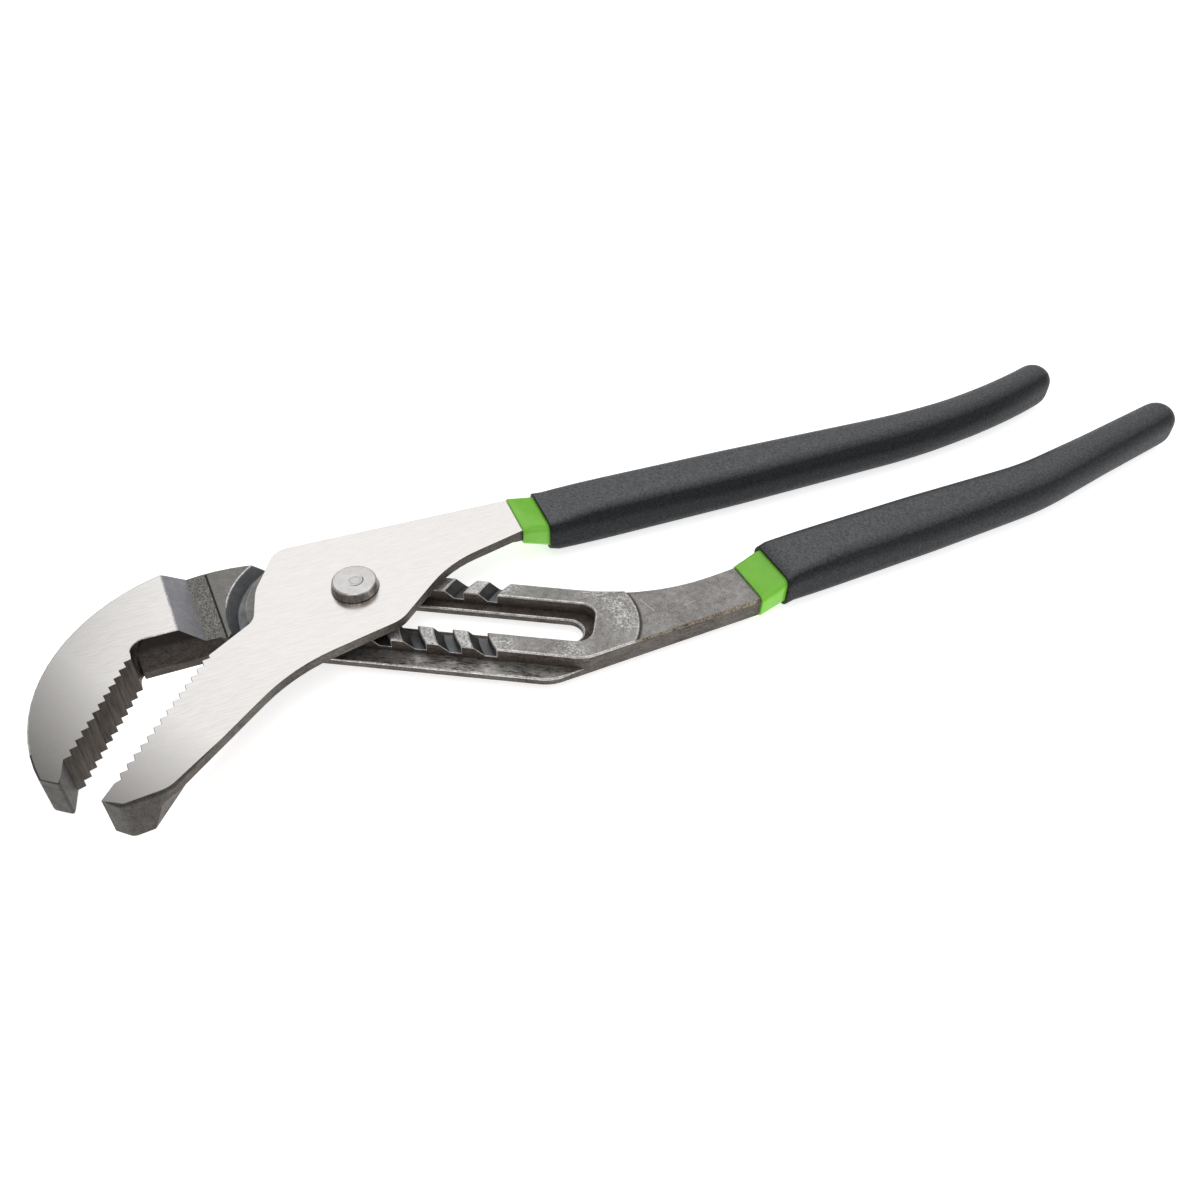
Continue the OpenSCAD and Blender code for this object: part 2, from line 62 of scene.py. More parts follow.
# %% Millimetres, and the pivot's place
MM = 0.001
hinge = next(joint for joint in frame["joints"] if joint["type"] == "hinge")
PIVOT = Vector(hinge["pos_m"][:2] + [0])
FRONT_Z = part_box("tongue_half")[1].z
print("pivot at", [round(v / MM, 2) for v in PIVOT], "front at", round(FRONT_Z / MM, 2))

# %% [markdown]
# ## Camera
# The photograph is taken from near, in front of the tool and above it, with the whole tool in a square
# frame. The place, the lens and the three turns below were found by lining up the pivot, the jaws' tips
# and the handles' ends.

# %% Camera
CAMERA_AT = (-11.36, -279.02, 246.01)
LOOK_TURN, LOOK_TILT, LOOK_ROLL = 4.405, 46.51, 2.303
LENS_MM, SENSOR_MM = 32.19, 36
bpy.ops.object.select_all(action="DESELECT")
bpy.ops.object.camera_add(location=[v * MM for v in CAMERA_AT])
camera = bpy.context.object
camera.name = "photo_camera"
turns = [Matrix.Rotation(math.radians(angle), 3, axis)
         for angle, axis in ((LOOK_TURN, "Z"), (LOOK_TILT, "X"), (LOOK_ROLL, "Z"))]
camera.rotation_euler = (turns[0] @ turns[1] @ turns[2]).to_euler()
camera.data.sensor_width = SENSOR_MM
camera.data.lens = LENS_MM
camera.data.clip_start = 1 * MM
bpy.context.scene.camera = camera
print("camera", [round(v, 3) for v in camera.location], "lens", LENS_MM)

# %% [markdown]
# ## Finishes
# A finish is a small tree of nodes. Each one starts from the piece's own coordinates, so a pattern stays
# on the steel when a joint moves. These helpers add a node, set what is typed in, and join what is wired.

# %% Helpers for nodes
def new_finish(name):
    """An empty finish, its tree and its shader."""
    finish = bpy.data.materials.new(name)
    finish.use_nodes = True
    return finish, finish.node_tree, finish.node_tree.nodes["Principled BSDF"]


def put(tree, kind, settings=None, **inputs):
    """A node of this kind, with its settings, and with its inputs set to values or wired to sockets."""
    node = tree.nodes.new(kind)
    for key, value in (settings or {}).items():
        setattr(node, key, value)
    for key, value in inputs.items():
        numbered = key.startswith("in") and key[2:].isdigit()
        socket = node.inputs[int(key[2:])] if numbered else node.inputs[key]
        if isinstance(value, bpy.types.NodeSocket):
            tree.links.new(value, socket)
        else:
            socket.default_value = value
    return node


def place(tree, turn=0, stretch=(1, 1, 1)):
    """The piece's own coordinates, along axes turned about +Z. A bigger stretch makes a finer pattern."""
    where = put(tree, "ShaderNodeTexCoord").outputs["Object"]
    return put(tree, "ShaderNodeMapping", {"vector_type": "TEXTURE"}, Vector=where,
               Rotation=(0, 0, math.radians(turn)), Scale=[1 / v for v in stretch]).outputs["Vector"]


def noise(tree, where, size, detail=4.0, rough=0.55):
    """A cloudy pattern from 0 to 1, whose patches are about this many metres wide."""
    return put(tree, "ShaderNodeTexNoise", Vector=where, Scale=1 / size, Detail=detail,
               Roughness=rough).outputs["Fac"]


def ramp(tree, value, low, high, a=0.0, b=1.0):
    """value from low..high turned into a..b, and held there outside."""
    node = put(tree, "ShaderNodeMapRange", Value=value)
    for key, number in (("From Min", low), ("From Max", high), ("To Min", a), ("To Max", b)):
        node.inputs[key].default_value = number
    return node.outputs["Result"]


def times(tree, a, b):
    return put(tree, "ShaderNodeMath", {"operation": "MULTIPLY"}, in0=a, in1=b).outputs[0]


def plus(tree, a, b):
    return put(tree, "ShaderNodeMath", {"operation": "ADD"}, in0=a, in1=b).outputs[0]


def blend_colours(tree, share, a, b):
    """Colour a where share is 0 and b where it is 1. A plain colour is three numbers."""
    node = put(tree, "ShaderNodeMix", {"data_type": "RGBA"})
    for socket, colour in ((node.inputs[6], a), (node.inputs[7], b)):
        if isinstance(colour, bpy.types.NodeSocket):
            tree.links.new(colour, socket)
        else:
            socket.default_value = (*colour, 1)
    tree.links.new(share, node.inputs[0])
    return node.outputs[2]


def relief(tree, height, depth, strength=1.0):
    return put(tree, "ShaderNodeBump", Height=height, Distance=depth, Strength=strength).outputs["Normal"]


print("helpers for nodes ready")

# %% [markdown]
# Some marks sit at one place: a worn patch, a scratch, the painted shade at the foot of a step. For those
# the coordinates are moved to that place and counted in millimetres from the pivot, as on a drawing.

# %% Helpers for marks at one place
def seen_from(tree, x, y, turn=0, flat=False):
    """Millimetres from a point that lies x and y from the pivot, along axes turned by this angle."""
    here = PIVOT / MM + Vector((x, y, 0))
    back = Matrix.Rotation(math.radians(-turn), 3, "Z")
    where = put(tree, "ShaderNodeTexCoord").outputs["Object"]
    return put(tree, "ShaderNodeMapping", Vector=where, Scale=(1 / MM, 1 / MM, 0 if flat else 1 / MM),
               Rotation=(0, 0, math.radians(-turn)), Location=-(back @ here)).outputs["Vector"]


def reach(tree, x, y):
    """How far a spot on the surface is from the upright line through x, y, in millimetres."""
    return put(tree, "ShaderNodeVectorMath", {"operation": "LENGTH"},
               in0=seen_from(tree, x, y, flat=True)).outputs["Value"]


def scratch(tree, x, y, turn, length, width=0.3):
    """1 on a straight scratch with its middle at x, y, and 0 beside it."""
    split = put(tree, "ShaderNodeSeparateXYZ", Vector=seen_from(tree, x, y, turn))
    sides = [put(tree, "ShaderNodeMath", {"operation": "ABSOLUTE"}, in0=split.outputs[axis]).outputs[0]
             for axis in "XY"]
    return times(tree, ramp(tree, sides[0], length / 2 - 0.8, length / 2, 1, 0),
                 ramp(tree, sides[1], width / 3, width, 1, 0))


print("helpers for marks ready")

# %% [markdown]
# ### Ground cheeks
# The jaws' fronts and backs are ground on a belt. Close up that is thousands of fine short lines in one
# direction, and from a step away a satin sheen. A pattern that is stretched ten times longer than wide
# gives the lines. The tips are hardened and darker, partly from heat and partly as painted shade. Round
# the nut's foot the plate gets a thin brown ring of painted shadow.

# %% Finish: ground cheek
BELT_TURN = 33
BELT_LINES, BELT_BANDS = (240, 2300, 2300), (70, 480, 480)
STEEL_DULL, STEEL_BRIGHT = (0.82, 0.797, 0.776), (0.885, 0.862, 0.842)
TO_TIPS = (-0.42, -0.91, 0)
TIP_DARK_FROM, TIP_DARK_TO, TIP_DARK_STRAY, TIP_DARK = 150 * MM, 186 * MM, 8 * MM, 0.95
TIP_HEAT_AND_SHADE_STEEL = (0.20, 0.19, 0.178)
NUT_SHADOW_INNER, NUT_SHADOW_OUTER, NUT_SHADOW_BROWN = 7.8, 8.3, (0.11, 0.065, 0.035)


def ground_finish(name, nut_shadow_strength=0.0):
    """Belt-ground steel that is darker at the tips, partly painted shade. The last argument is how strong
    the ring of painted shadow round the nut is.
    """
    finish, tree, shader = new_finish(name)
    lines = noise(tree, place(tree, BELT_TURN, BELT_LINES), 1, 2, 0.5)
    bands = noise(tree, place(tree, BELT_TURN, BELT_BANDS), 1, 3)
    cloud = noise(tree, place(tree), 15 * MM, 3)
    mixed = plus(tree, times(tree, lines, 0.75), times(tree, bands, 0.25))
    steel = blend_colours(tree, ramp(tree, mixed, 0.32, 0.68), STEEL_DULL, STEEL_BRIGHT)
    steel = blend_colours(tree, ramp(tree, cloud, 0.4, 0.75, 0, 0.2), steel, STEEL_DULL)
    # Darker towards the tips: partly the heat tint of hardening, partly painted shade.
    far = put(tree, "ShaderNodeVectorMath", {"operation": "DOT_PRODUCT"}, in0=place(tree),
              in1=TO_TIPS).outputs["Value"]
    stray = times(tree, plus(tree, mixed, -0.5), TIP_DARK_STRAY)
    tip_heat_and_shade = ramp(tree, plus(tree, far, stray), TIP_DARK_FROM, TIP_DARK_TO, 0, TIP_DARK)
    steel = blend_colours(tree, tip_heat_and_shade, steel, TIP_HEAT_AND_SHADE_STEEL)
    # A thin brown ring of painted shadow round the nut's foot on the plate.
    if nut_shadow_strength:
        nut_shadow_mask = ramp(tree, plus(tree, reach(tree, 0, 0), cloud), NUT_SHADOW_INNER, NUT_SHADOW_OUTER, nut_shadow_strength, 0)
        steel = blend_colours(tree, nut_shadow_mask, steel, NUT_SHADOW_BROWN)
    tree.links.new(steel, shader.inputs["Base Color"])
    shader.inputs["Metallic"].default_value = 1
    tree.links.new(ramp(tree, mixed, 0.3, 0.7, 0.26, 0.21), shader.inputs["Roughness"])
    tree.links.new(relief(tree, lines, 0.008 * MM, 0.4), shader.inputs["Normal"])
    return finish


hook_cheek = ground_finish("ground_hooked_jaw")
plate_cheek = ground_finish("ground_straight_jaw", nut_shadow_strength=0.75)
print("ground cheeks:", hook_cheek.name, plate_cheek.name)

# %% [markdown]
# ### Forged skin, cut faces and worn edges
# Away from the cheeks the steel keeps its forged skin: a dark oxide, blotched and a little rough, with
# bright specks and scratches where it has been handled. Faces that a cutter made, such as teeth, are
# darker and lined. One function makes them all, because they differ only in their colours, their grain
# and how worn they are.

# %% Finish: forged and cut steel
COARSER = 4.5
BLOTCH, SPECK = 10 * MM, 0.5 * MM
HAIRLINE_TURN, HAIRLINES = 38, (110, 2400, 900)


def forged_finish(name, dark, light, grain=(1, 1, 1), turn=0, size=0.4, rough=(0.42, 0.6), metal=0.75,
                  specks=0.4, lines=0.4, depth=0.03, marks=None):
    """Steel between a dark and a light colour. size and depth are the grain's, in millimetres, grain and
    turn stretch it, and specks and lines say how strong the bright ones are. marks takes the tree and gives
    a list of pairs: where a mark is, from 0 to 1, and its colour."""
    finish, tree, shader = new_finish(name)
    fine = noise(tree, place(tree, turn, grain), size * MM, 3, 0.6)
    coarse = noise(tree, place(tree, turn, grain), COARSER * size * MM, 3, 0.6)
    cloud = noise(tree, place(tree, 20), BLOTCH, 3)
    tone = plus(tree, times(tree, fine, 0.5), plus(tree, times(tree, coarse, 0.3), times(tree, cloud, 0.2)))
    steel = blend_colours(tree, ramp(tree, tone, 0.38, 0.62), dark, light)
    bright = tuple(min(0.75, 1.7 * v + 0.12) for v in light)
    speck = ramp(tree, noise(tree, place(tree, BELT_TURN), SPECK, 1), 0.66, 0.72)
    shown = times(tree, speck, ramp(tree, cloud, 0.38, 0.62, 0.25 * specks, specks))
    steel = blend_colours(tree, shown, steel, bright)
    line = ramp(tree, noise(tree, place(tree, HAIRLINE_TURN, HAIRLINES), 1, 2, 0.5), 0.72, 0.76)
    shown = times(tree, line, ramp(tree, cloud, 0.42, 0.6, 0, lines))
    steel = blend_colours(tree, shown, steel, bright)
    for mask, colour in (marks(tree) if marks else []):
        steel = blend_colours(tree, mask, steel, colour)
    tree.links.new(steel, shader.inputs["Base Color"])
    shader.inputs["Metallic"].default_value = metal
    tree.links.new(ramp(tree, tone, 0.35, 0.65, rough[1], rough[0]), shader.inputs["Roughness"])
    bumps = plus(tree, fine, times(tree, coarse, 1.5))
    tree.links.new(relief(tree, bumps, depth * MM, 0.8), shader.inputs["Normal"])
    return finish


print("forged steel ready")

# %% [markdown]
# Where the tool is handled, the skin is rubbed through. The rails' tops have bright patches of small
# flecks beside the slot's end, the pad's rim is bright, partly worn and partly a painted highlight, a
# band of painted shade lies at the foot of its step, and another tool slipped twice and left a long and
# a short scratch.

# %% Finish: worn tops
PAD, PAD_R = (65.4, 0), 24.2
PATCHES = [(81.5, 9.5, 9), (85, 1, 7), (69.5, -13, 7), (48.5, -12.6, 6), (73, 15.4, 7), (46, 12.4, 6)]
LONG_SLIP, SHORT_SLIP = (91.2, 11.0, -44, 8), (104.5, 14, 37, 5.5, 0.22)
FLECK_AND_HIGHLIGHT, BARE, STEP_FOOT_SHADE = (0.80, 0.79, 0.77), (0.62, 0.60, 0.57), (0.03, 0.026, 0.022)


def worn_patches_and_rim_highlight(tree):
    """Bright flecks in the patches, which are x, y and size, and along the pad's rim, where they are partly
    worn flecks and partly a painted highlight.
    """
    worn = None
    for x, y, size in PATCHES:
        patch = ramp(tree, reach(tree, x, y), 0.25 * size, size, 1, 0)
        worn = patch if worn is None else plus(tree, worn, patch)
    flecks = plus(tree, times(tree, noise(tree, place(tree, 12), 0.8 * MM, 3, 0.6), 0.7),
                  times(tree, noise(tree, place(tree), 3.5 * MM, 2), 0.3))
    # The pad's rim is painted brighter: partly worn flecks, partly a painted highlight.
    rim = ramp(tree, reach(tree, *PAD), PAD_R - 0.9, PAD_R - 0.2)
    return [(times(tree, worn, ramp(tree, flecks, 0.48, 0.58, 0, 0.9)), FLECK_AND_HIGHLIGHT),
            (times(tree, rim, ramp(tree, flecks, 0.42, 0.54, 0.1, 0.85)), FLECK_AND_HIGHLIGHT)]


def foot_of_step(tree):
    """A band of painted shade round the foot of the pad's step, and the two slips."""
    # A dark band of painted shade round the foot of the pad's step.
    step_foot_shade = ramp(tree, reach(tree, *PAD), PAD_R + 0.45, PAD_R + 1.1, 0.85, 0)
    slips = plus(tree, scratch(tree, *LONG_SLIP), scratch(tree, *SHORT_SLIP))
    return [(step_foot_shade, STEP_FOOT_SHADE), (times(tree, slips, ramp(tree, slips, 0, 1, 0, 0.8)), BARE)]


rail_top = forged_finish("forged_rail_top", (0.205, 0.195, 0.184), (0.47, 0.453, 0.434), specks=0.6,
                         marks=worn_patches_and_rim_highlight)
shank_top = forged_finish("forged_top", (0.20, 0.19, 0.179), (0.46, 0.442, 0.423), specks=0.55, lines=0.8,
                          marks=foot_of_step)
print("worn tops", rail_top.name, shank_top.name)

# %% [markdown]
# The sides keep most of their oxide. The ledge under the rails is splashed with bright and dark, the slot
# is nearly black, and the teeth carry upright lines from the cutter.

# %% Finish: sides, ledge, slot, teeth and nose
shank_side = forged_finish("forged_side", (0.045, 0.037, 0.031), (0.15, 0.132, 0.117), grain=(0.35, 1, 1.4),
                           turn=32, metal=0.5, specks=0.35, lines=0.4, depth=0.05)
ledge_skin = forged_finish("forged_ledge", (0.040, 0.035, 0.031), (0.52, 0.50, 0.475), grain=(0.3, 1.1, 1),
                           size=0.7, metal=0.65, rough=(0.2, 0.46), specks=0.6, lines=0.3, depth=0.08)
slot_skin = forged_finish("forged_slot", (0.028, 0.021, 0.0175), (0.15, 0.12, 0.102), grain=(0.6, 1, 1.3),
                          metal=0.35, specks=0.3, lines=0.2, depth=0.05)
tooth_skin = forged_finish("cut_teeth", (0.042, 0.033, 0.027), (0.115, 0.096, 0.080), grain=(1, 1, 0.06),
                           size=0.3, metal=0.4, specks=0.08, lines=0.0, depth=0.03)
nose_skin = forged_finish("forged_nose", (0.043, 0.038, 0.033), (0.104, 0.096, 0.085), metal=0.5,
                          specks=0.25, lines=0.3, depth=0.04)
print("dark skins", [skin.name for skin in (shank_side, ledge_skin, slot_skin, tooth_skin, nose_skin)])

# %% [markdown]
# The throat, the corner behind the hooked jaw's teeth, has a dark band of painted shadow under its upper
# edge and is rusty at its foot, so its bands follow the height. The lower edge of the shank is rubbed
# through to bright, brownish steel.

# %% Finish: throat and rubbed trim
THROAT_SHADOW_FROM, THROAT_SHADOW_TO, THROAT_SHADOW = 11.0, 12.8, (0.010, 0.008, 0.007)
RUST_FROM, RUST_TO, RUST = 6.2, 5.2, (0.068, 0.045, 0.032)


def throat_bands(tree):
    height = put(tree, "ShaderNodeSeparateXYZ", Vector=seen_from(tree, 0, 0)).outputs["Z"]
    # A dark band of painted shadow under the throat's upper edge, and rust at its foot.
    return [(ramp(tree, height, THROAT_SHADOW_FROM, THROAT_SHADOW_TO, 0, 0.85), THROAT_SHADOW),
            (ramp(tree, height, RUST_FROM, RUST_TO, 0, 0.5), RUST)]


throat_skin = forged_finish("forged_throat", (0.022, 0.0175, 0.015), (0.125, 0.104, 0.090),
                            grain=(0.5, 1, 1), turn=17, metal=0.35, specks=0.25, lines=0.5, depth=0.06,
                            marks=throat_bands)
worn_trim = forged_finish("worn_trim", (0.022, 0.015, 0.010), (0.52, 0.435, 0.33), size=0.6, metal=0.6,
                          specks=0.6, lines=0.0, depth=0.04)
print("throat and trim", throat_skin.name, worn_trim.name)

# %% [markdown]
# Behind the hooked jaw the steel steps down to the neck. The step is a smooth, bluish slope, the neck
# beside it is grainy up to a scribed line, and beyond that line it is cleaner.

# %% Finish: slope, neck and worn edges
SLOPE_TURN, SCRIBE_AT = 32.7, -40.4
GRAIN_DARK, GRAIN_LIGHT = (0.085, 0.080, 0.068), (0.46, 0.45, 0.41)


def grainy_side(tree):
    split = put(tree, "ShaderNodeSeparateXYZ", Vector=seen_from(tree, 0, 0, SLOPE_TURN))
    side = ramp(tree, split.outputs["X"], SCRIBE_AT - 0.4, SCRIBE_AT, 0.85, 0)
    grains = noise(tree, place(tree), 0.34 * MM, 2)
    return [(times(tree, side, ramp(tree, grains, 0.44, 0.60)), GRAIN_DARK),
            (times(tree, side, ramp(tree, grains, 0.44, 0.34)), GRAIN_LIGHT)]


slope_skin = forged_finish("ground_slope", (0.27, 0.27, 0.292), (0.42, 0.42, 0.445), grain=(0.5, 1.2, 1),
                           metal=0.85, rough=(0.34, 0.5), specks=0.25, lines=0.4, depth=0.02)
neck_skin = forged_finish("forged_neck", (0.185, 0.18, 0.167), (0.33, 0.323, 0.303), metal=0.6, specks=0.35,
                          lines=0.3, depth=0.04, marks=grainy_side)
worn_edge = forged_finish("worn_edge", (0.30, 0.288, 0.27), (0.95, 0.935, 0.91), size=0.55, metal=0.85,
                          specks=0.5, lines=0.0, depth=0.02, rough=(0.3, 0.48))
print("jaw skins", slope_skin.name, neck_skin.name, worn_edge.name)

# %% [markdown]
# ### Grooves
# Each groove was turned by a cutter that ran round its own pivot position, so its walls carry rings. The
# distance to that position is stored on the steel's points under a name, and the finish draws its rings
# from it. The groove beside the jaw shows as a lighter crescent.

# %% Finish: cut grooves
RINGS = "ring_mm"


def groove_finish(name, dark, light, rough):
    finish, tree, shader = new_finish(name)
    radius = put(tree, "ShaderNodeAttribute", {"attribute_name": RINGS}).outputs["Fac"]
    across = put(tree, "ShaderNodeCombineXYZ", X=radius).outputs["Vector"]
    rings = put(tree, "ShaderNodeTexNoise", Vector=across, Scale=4.5, Detail=4.0,
                Roughness=0.65).outputs["Fac"]
    shade = noise(tree, place(tree), 3 * MM, 4)
    tone = plus(tree, times(tree, rings, 0.75), times(tree, shade, 0.25))
    steel = blend_colours(tree, ramp(tree, tone, 0.36, 0.64), dark, light)
    tree.links.new(steel, shader.inputs["Base Color"])
    shader.inputs["Metallic"].default_value = 0.7
    tree.links.new(ramp(tree, tone, 0.3, 0.7, rough + 0.14, rough), shader.inputs["Roughness"])
    tree.links.new(relief(tree, rings, 0.02 * MM, 0.6), shader.inputs["Normal"])
    return finish


groove_floor = groove_finish("cut_groove_floor", (0.060, 0.062, 0.067), (0.215, 0.22, 0.23), 0.32)
groove_wall = groove_finish("cut_groove_wall", (0.022, 0.0205, 0.020), (0.120, 0.120, 0.124), 0.34)
crescent = groove_finish("cut_crescent", (0.060, 0.062, 0.067), (0.33, 0.34, 0.355), 0.3)
print("groove finishes", groove_floor.name, groove_wall.name, crescent.name)

# %% [markdown]
# ### Pivot steel
# The nut is turned and polished, so it mirrors the studio with only a faint haze of turning rings. A
# punch left a dull ring a little off its middle. Its side is rougher, and it is painted dark and brown
# as a painted dark reflection.

# %% Finish: polished pivot
PUNCH_AT = (0.4, -0.15)
PUNCHED = (0.25, 0.235, 0.225)
pivot_polish, tree, shader = new_finish("polished_pivot")
haze = noise(tree, place(tree), 2.2 * MM, 4)
across = put(tree, "ShaderNodeCombineXYZ", X=reach(tree, 0, 0)).outputs["Vector"]
turning = put(tree, "ShaderNodeTexNoise", Vector=across, Scale=6.0, Detail=3.0).outputs["Fac"]
steel = blend_colours(tree, ramp(tree, haze, 0.35, 0.7), (0.60, 0.585, 0.575), (0.72, 0.705, 0.69))
steel = blend_colours(tree, ramp(tree, turning, 0.35, 0.5, 0.25, 0), steel, (0.42, 0.40, 0.39))
outside = ramp(tree, plus(tree, reach(tree, *PUNCH_AT), times(tree, haze, 1.6)), 2.3, 3.0, 1, 0)
inside_it = ramp(tree, plus(tree, reach(tree, *PUNCH_AT), haze), 1.6, 2.4, 0, 0.55)
steel = blend_colours(tree, times(tree, outside, inside_it), steel, PUNCHED)
tree.links.new(steel, shader.inputs["Base Color"])
shader.inputs["Metallic"].default_value = 1
tree.links.new(ramp(tree, haze, 0.3, 0.7, 0.15, 0.27), shader.inputs["Roughness"])
bumps = plus(tree, haze, times(tree, turning, 0.25))
tree.links.new(relief(tree, bumps, 0.06 * MM, 0.5), shader.inputs["Normal"])
# The nut's side: dark brown steel that stands in for a painted dark reflection.
pivot_side_dark_reflection = forged_finish("pivot_side_dark_reflection", (0.12, 0.10, 0.085), (0.42, 0.385, 0.355), grain=(1, 1, 0.3),
                          size=0.7, metal=1.0, rough=(0.12, 0.3), specks=0.1, lines=0.0, depth=0.02)
print("pivot finishes", pivot_polish.name, pivot_side_dark_reflection.name)

# %% [markdown]
# ### Dipped vinyl
# The handles are dipped twice: first in a bright, glossy green, then in a black coat with a fine grain,
# which hides all but a collar. Where the black coat faces up it is painted paler, a painted sheen, and
# it is made shinier.

# %% Finish: green coat
green_coat, tree, shader = new_finish("green_coat")
flow = noise(tree, place(tree), 5 * MM, 3)
dust = noise(tree, place(tree), 0.5 * MM, 2)
green = blend_colours(tree, ramp(tree, flow, 0.3, 0.7), (0.21, 0.63, 0.038), (0.25, 0.70, 0.052))
green = blend_colours(tree, ramp(tree, dust, 0.62, 0.72, 0, 0.25), green, (0.16, 0.52, 0.03))
tree.links.new(green, shader.inputs["Base Color"])
tree.links.new(ramp(tree, flow, 0.3, 0.7, 0.12, 0.2), shader.inputs["Roughness"])
bumps = plus(tree, flow, times(tree, dust, 0.05))
tree.links.new(relief(tree, bumps, 0.06 * MM, 0.4), shader.inputs["Normal"])
print("green finish", green_coat.name)

# %% Finish: black coat
PORE_BLACK, GRAIN_BLACK = (0.0060, 0.0067, 0.0082), (0.031, 0.0335, 0.038)
CLOUD_BLACK, TOP_SHEEN_BLACK = (0.020, 0.0215, 0.0245), (0.128, 0.134, 0.144)
black_coat, tree, shader = new_finish("black_coat")
grain = noise(tree, place(tree), 0.85 * MM, 3, 0.6)
pores = noise(tree, place(tree, 30), 0.42 * MM, 2, 0.5)
cloud = noise(tree, place(tree), 12 * MM, 3)
height = plus(tree, times(tree, grain, 0.6), times(tree, pores, 0.4))
black = blend_colours(tree, ramp(tree, height, 0.38, 0.64), PORE_BLACK, GRAIN_BLACK)
black = blend_colours(tree, ramp(tree, cloud, 0.35, 0.7, 0, 0.25), black, CLOUD_BLACK)
normal = put(tree, "ShaderNodeNewGeometry").outputs["Normal"]
faces_up = put(tree, "ShaderNodeSeparateXYZ", Vector=normal).outputs["Z"]
# The black coat is painted paler where it faces up: a painted sheen.
rubbed = ramp(tree, faces_up, 0.72, 1.0)
shown = times(tree, rubbed, ramp(tree, height, 0.36, 0.66, 0.15, 0.9))
black = blend_colours(tree, shown, black, TOP_SHEEN_BLACK)
tree.links.new(black, shader.inputs["Base Color"])
tree.links.new(ramp(tree, rubbed, 0, 1, 0.2, 0.7), shader.inputs["Specular IOR Level"])
tree.links.new(ramp(tree, height, 0.35, 0.65, 0.58, 0.38), shader.inputs["Roughness"])
tree.links.new(relief(tree, height, 0.2 * MM, 0.8), shader.inputs["Normal"])
print("black finish", black_coat.name)

# %% [markdown]
# ## Working on one piece at a time
# Blender's operators act on whatever is selected, and the frame comes in selected. So each step starts by
# selecting one object alone, and in edit mode it picks its faces by their place and by the way they face.
# A place is counted in millimetres from the pivot, with z counted from the jaws' front.

# %% Helpers for editing
def only(piece):
    """Select this object alone and make it the active one."""
    bpy.ops.object.select_all(action="DESELECT")
    piece.select_set(True)
    bpy.context.view_layer.objects.active = piece


def drawing_place(point):
    """A point in millimetres from the pivot, with z counted from the jaws' front."""
    moved = (point - PIVOT) / MM
    return moved.x, moved.y, moved.z - FRONT_Z / MM


def inside(x, y, box):
    """Whether a place lies in a box, which is its left, right, near and far edge."""
    left, right, near, far = box
    return left < x < right and near < y < far


def pick(piece, test):
    """In edit mode, select the faces whose x, y, z and normal pass the test. Returns how many there are."""
    bpy.ops.mesh.select_mode(type="FACE")
    bpy.ops.mesh.select_all(action="DESELECT")
    mesh = bmesh.from_edit_mesh(piece.data)
    found = [face for face in mesh.faces if test(*drawing_place(face.calc_center_median()), face.normal)]
    for face in found:
        face.select_set(True)
    bmesh.update_edit_mesh(piece.data)
    return len(found)


def apply_all(piece):
    """Apply every modifier, from the top down."""
    only(piece)
    for modifier in list(piece.modifiers):
        bpy.ops.object.modifier_apply(modifier=modifier.name)


def take_over(node, name):
    """A copy of a solid to work on: its loose triangles are merged, and flat faces become whole again."""
    piece = frame["nodes"][node].copy()
    piece.data = frame["nodes"][node].data.copy()
    piece.name = name
    piece.parent = None
    for key in list(piece.keys()):
        del piece[key]
    bpy.context.scene.collection.objects.link(piece)
    piece.data.materials.clear()
    only(piece)
    bpy.ops.object.mode_set(mode="EDIT")
    bpy.ops.mesh.select_all(action="SELECT")
    bpy.ops.mesh.customdata_custom_splitnormals_clear()
    bpy.ops.mesh.remove_doubles(threshold=0.002 * MM)
    bpy.ops.mesh.dissolve_limited(angle_limit=math.radians(0.4))
    bpy.ops.object.mode_set(mode="OBJECT")
    return piece


print("helpers for editing ready")

# %% [markdown]
# ## The forged halves
# The shape of both halves is already right in the solids. What a solid lacks is the small things: an edge
# that is never razor sharp, and a finish that changes from face to face. So a copy of each is taken over,
# each family of faces gets its finish, and every sharp edge gets a narrow bevel. On the dark half the
# bevel has a finish of its own, because edges are what wears bright first.

# %% Paint the faces by what they are
def paint(piece, finishes, rules):
    """Give each face the finish of the first rule that it passes. A rule is a finish and a test for pick."""
    for finish in finishes:
        piece.data.materials.append(finish)
    only(piece)
    bpy.ops.object.mode_set(mode="EDIT")
    counts = {}
    for finish, test in reversed(rules):
        counts[finish.name] = pick(piece, test)
        piece.active_material_index = finishes.index(finish)
        bpy.ops.object.material_slot_assign()
    bpy.ops.object.mode_set(mode="OBJECT")
    print(piece.name, "faces per finish", counts)


def level(normal, up=1):
    return normal.z * up > 0.999


print("painting ready")

# %% [markdown]
# A bevel is wanted only where two faces meet at an outward edge that is sharp. A few edges are worked one
# by one, with the bevel operator. All the others get a weight, which says how much of the full width each
# one takes.

# %% Helpers for edges
SHARP = 24
SMOOTH_UNDER = 32


def is_sharp(edge):
    """Whether two faces meet here at an outward edge that is worth a bevel."""
    return (len(edge.link_faces) == 2 and edge.is_convex
            and edge.calc_face_angle() > math.radians(SHARP))


def mark_edges(piece, size):
    """Mark the sharp edges for the bevel. size takes the place of an edge's middle and gives its share of
    the bevel's width."""
    mesh = bmesh.new()
    mesh.from_mesh(piece.data)
    mark = mesh.edges.layers.float.new("bevel_weight_edge")
    count = 0
    for edge in filter(is_sharp, mesh.edges):
        edge[mark] = size(*drawing_place((edge.verts[0].co + edge.verts[1].co) / 2))
        count += edge[mark] > 0
    mesh.to_mesh(piece.data)
    mesh.free()
    print(piece.name, "outward edges", count)


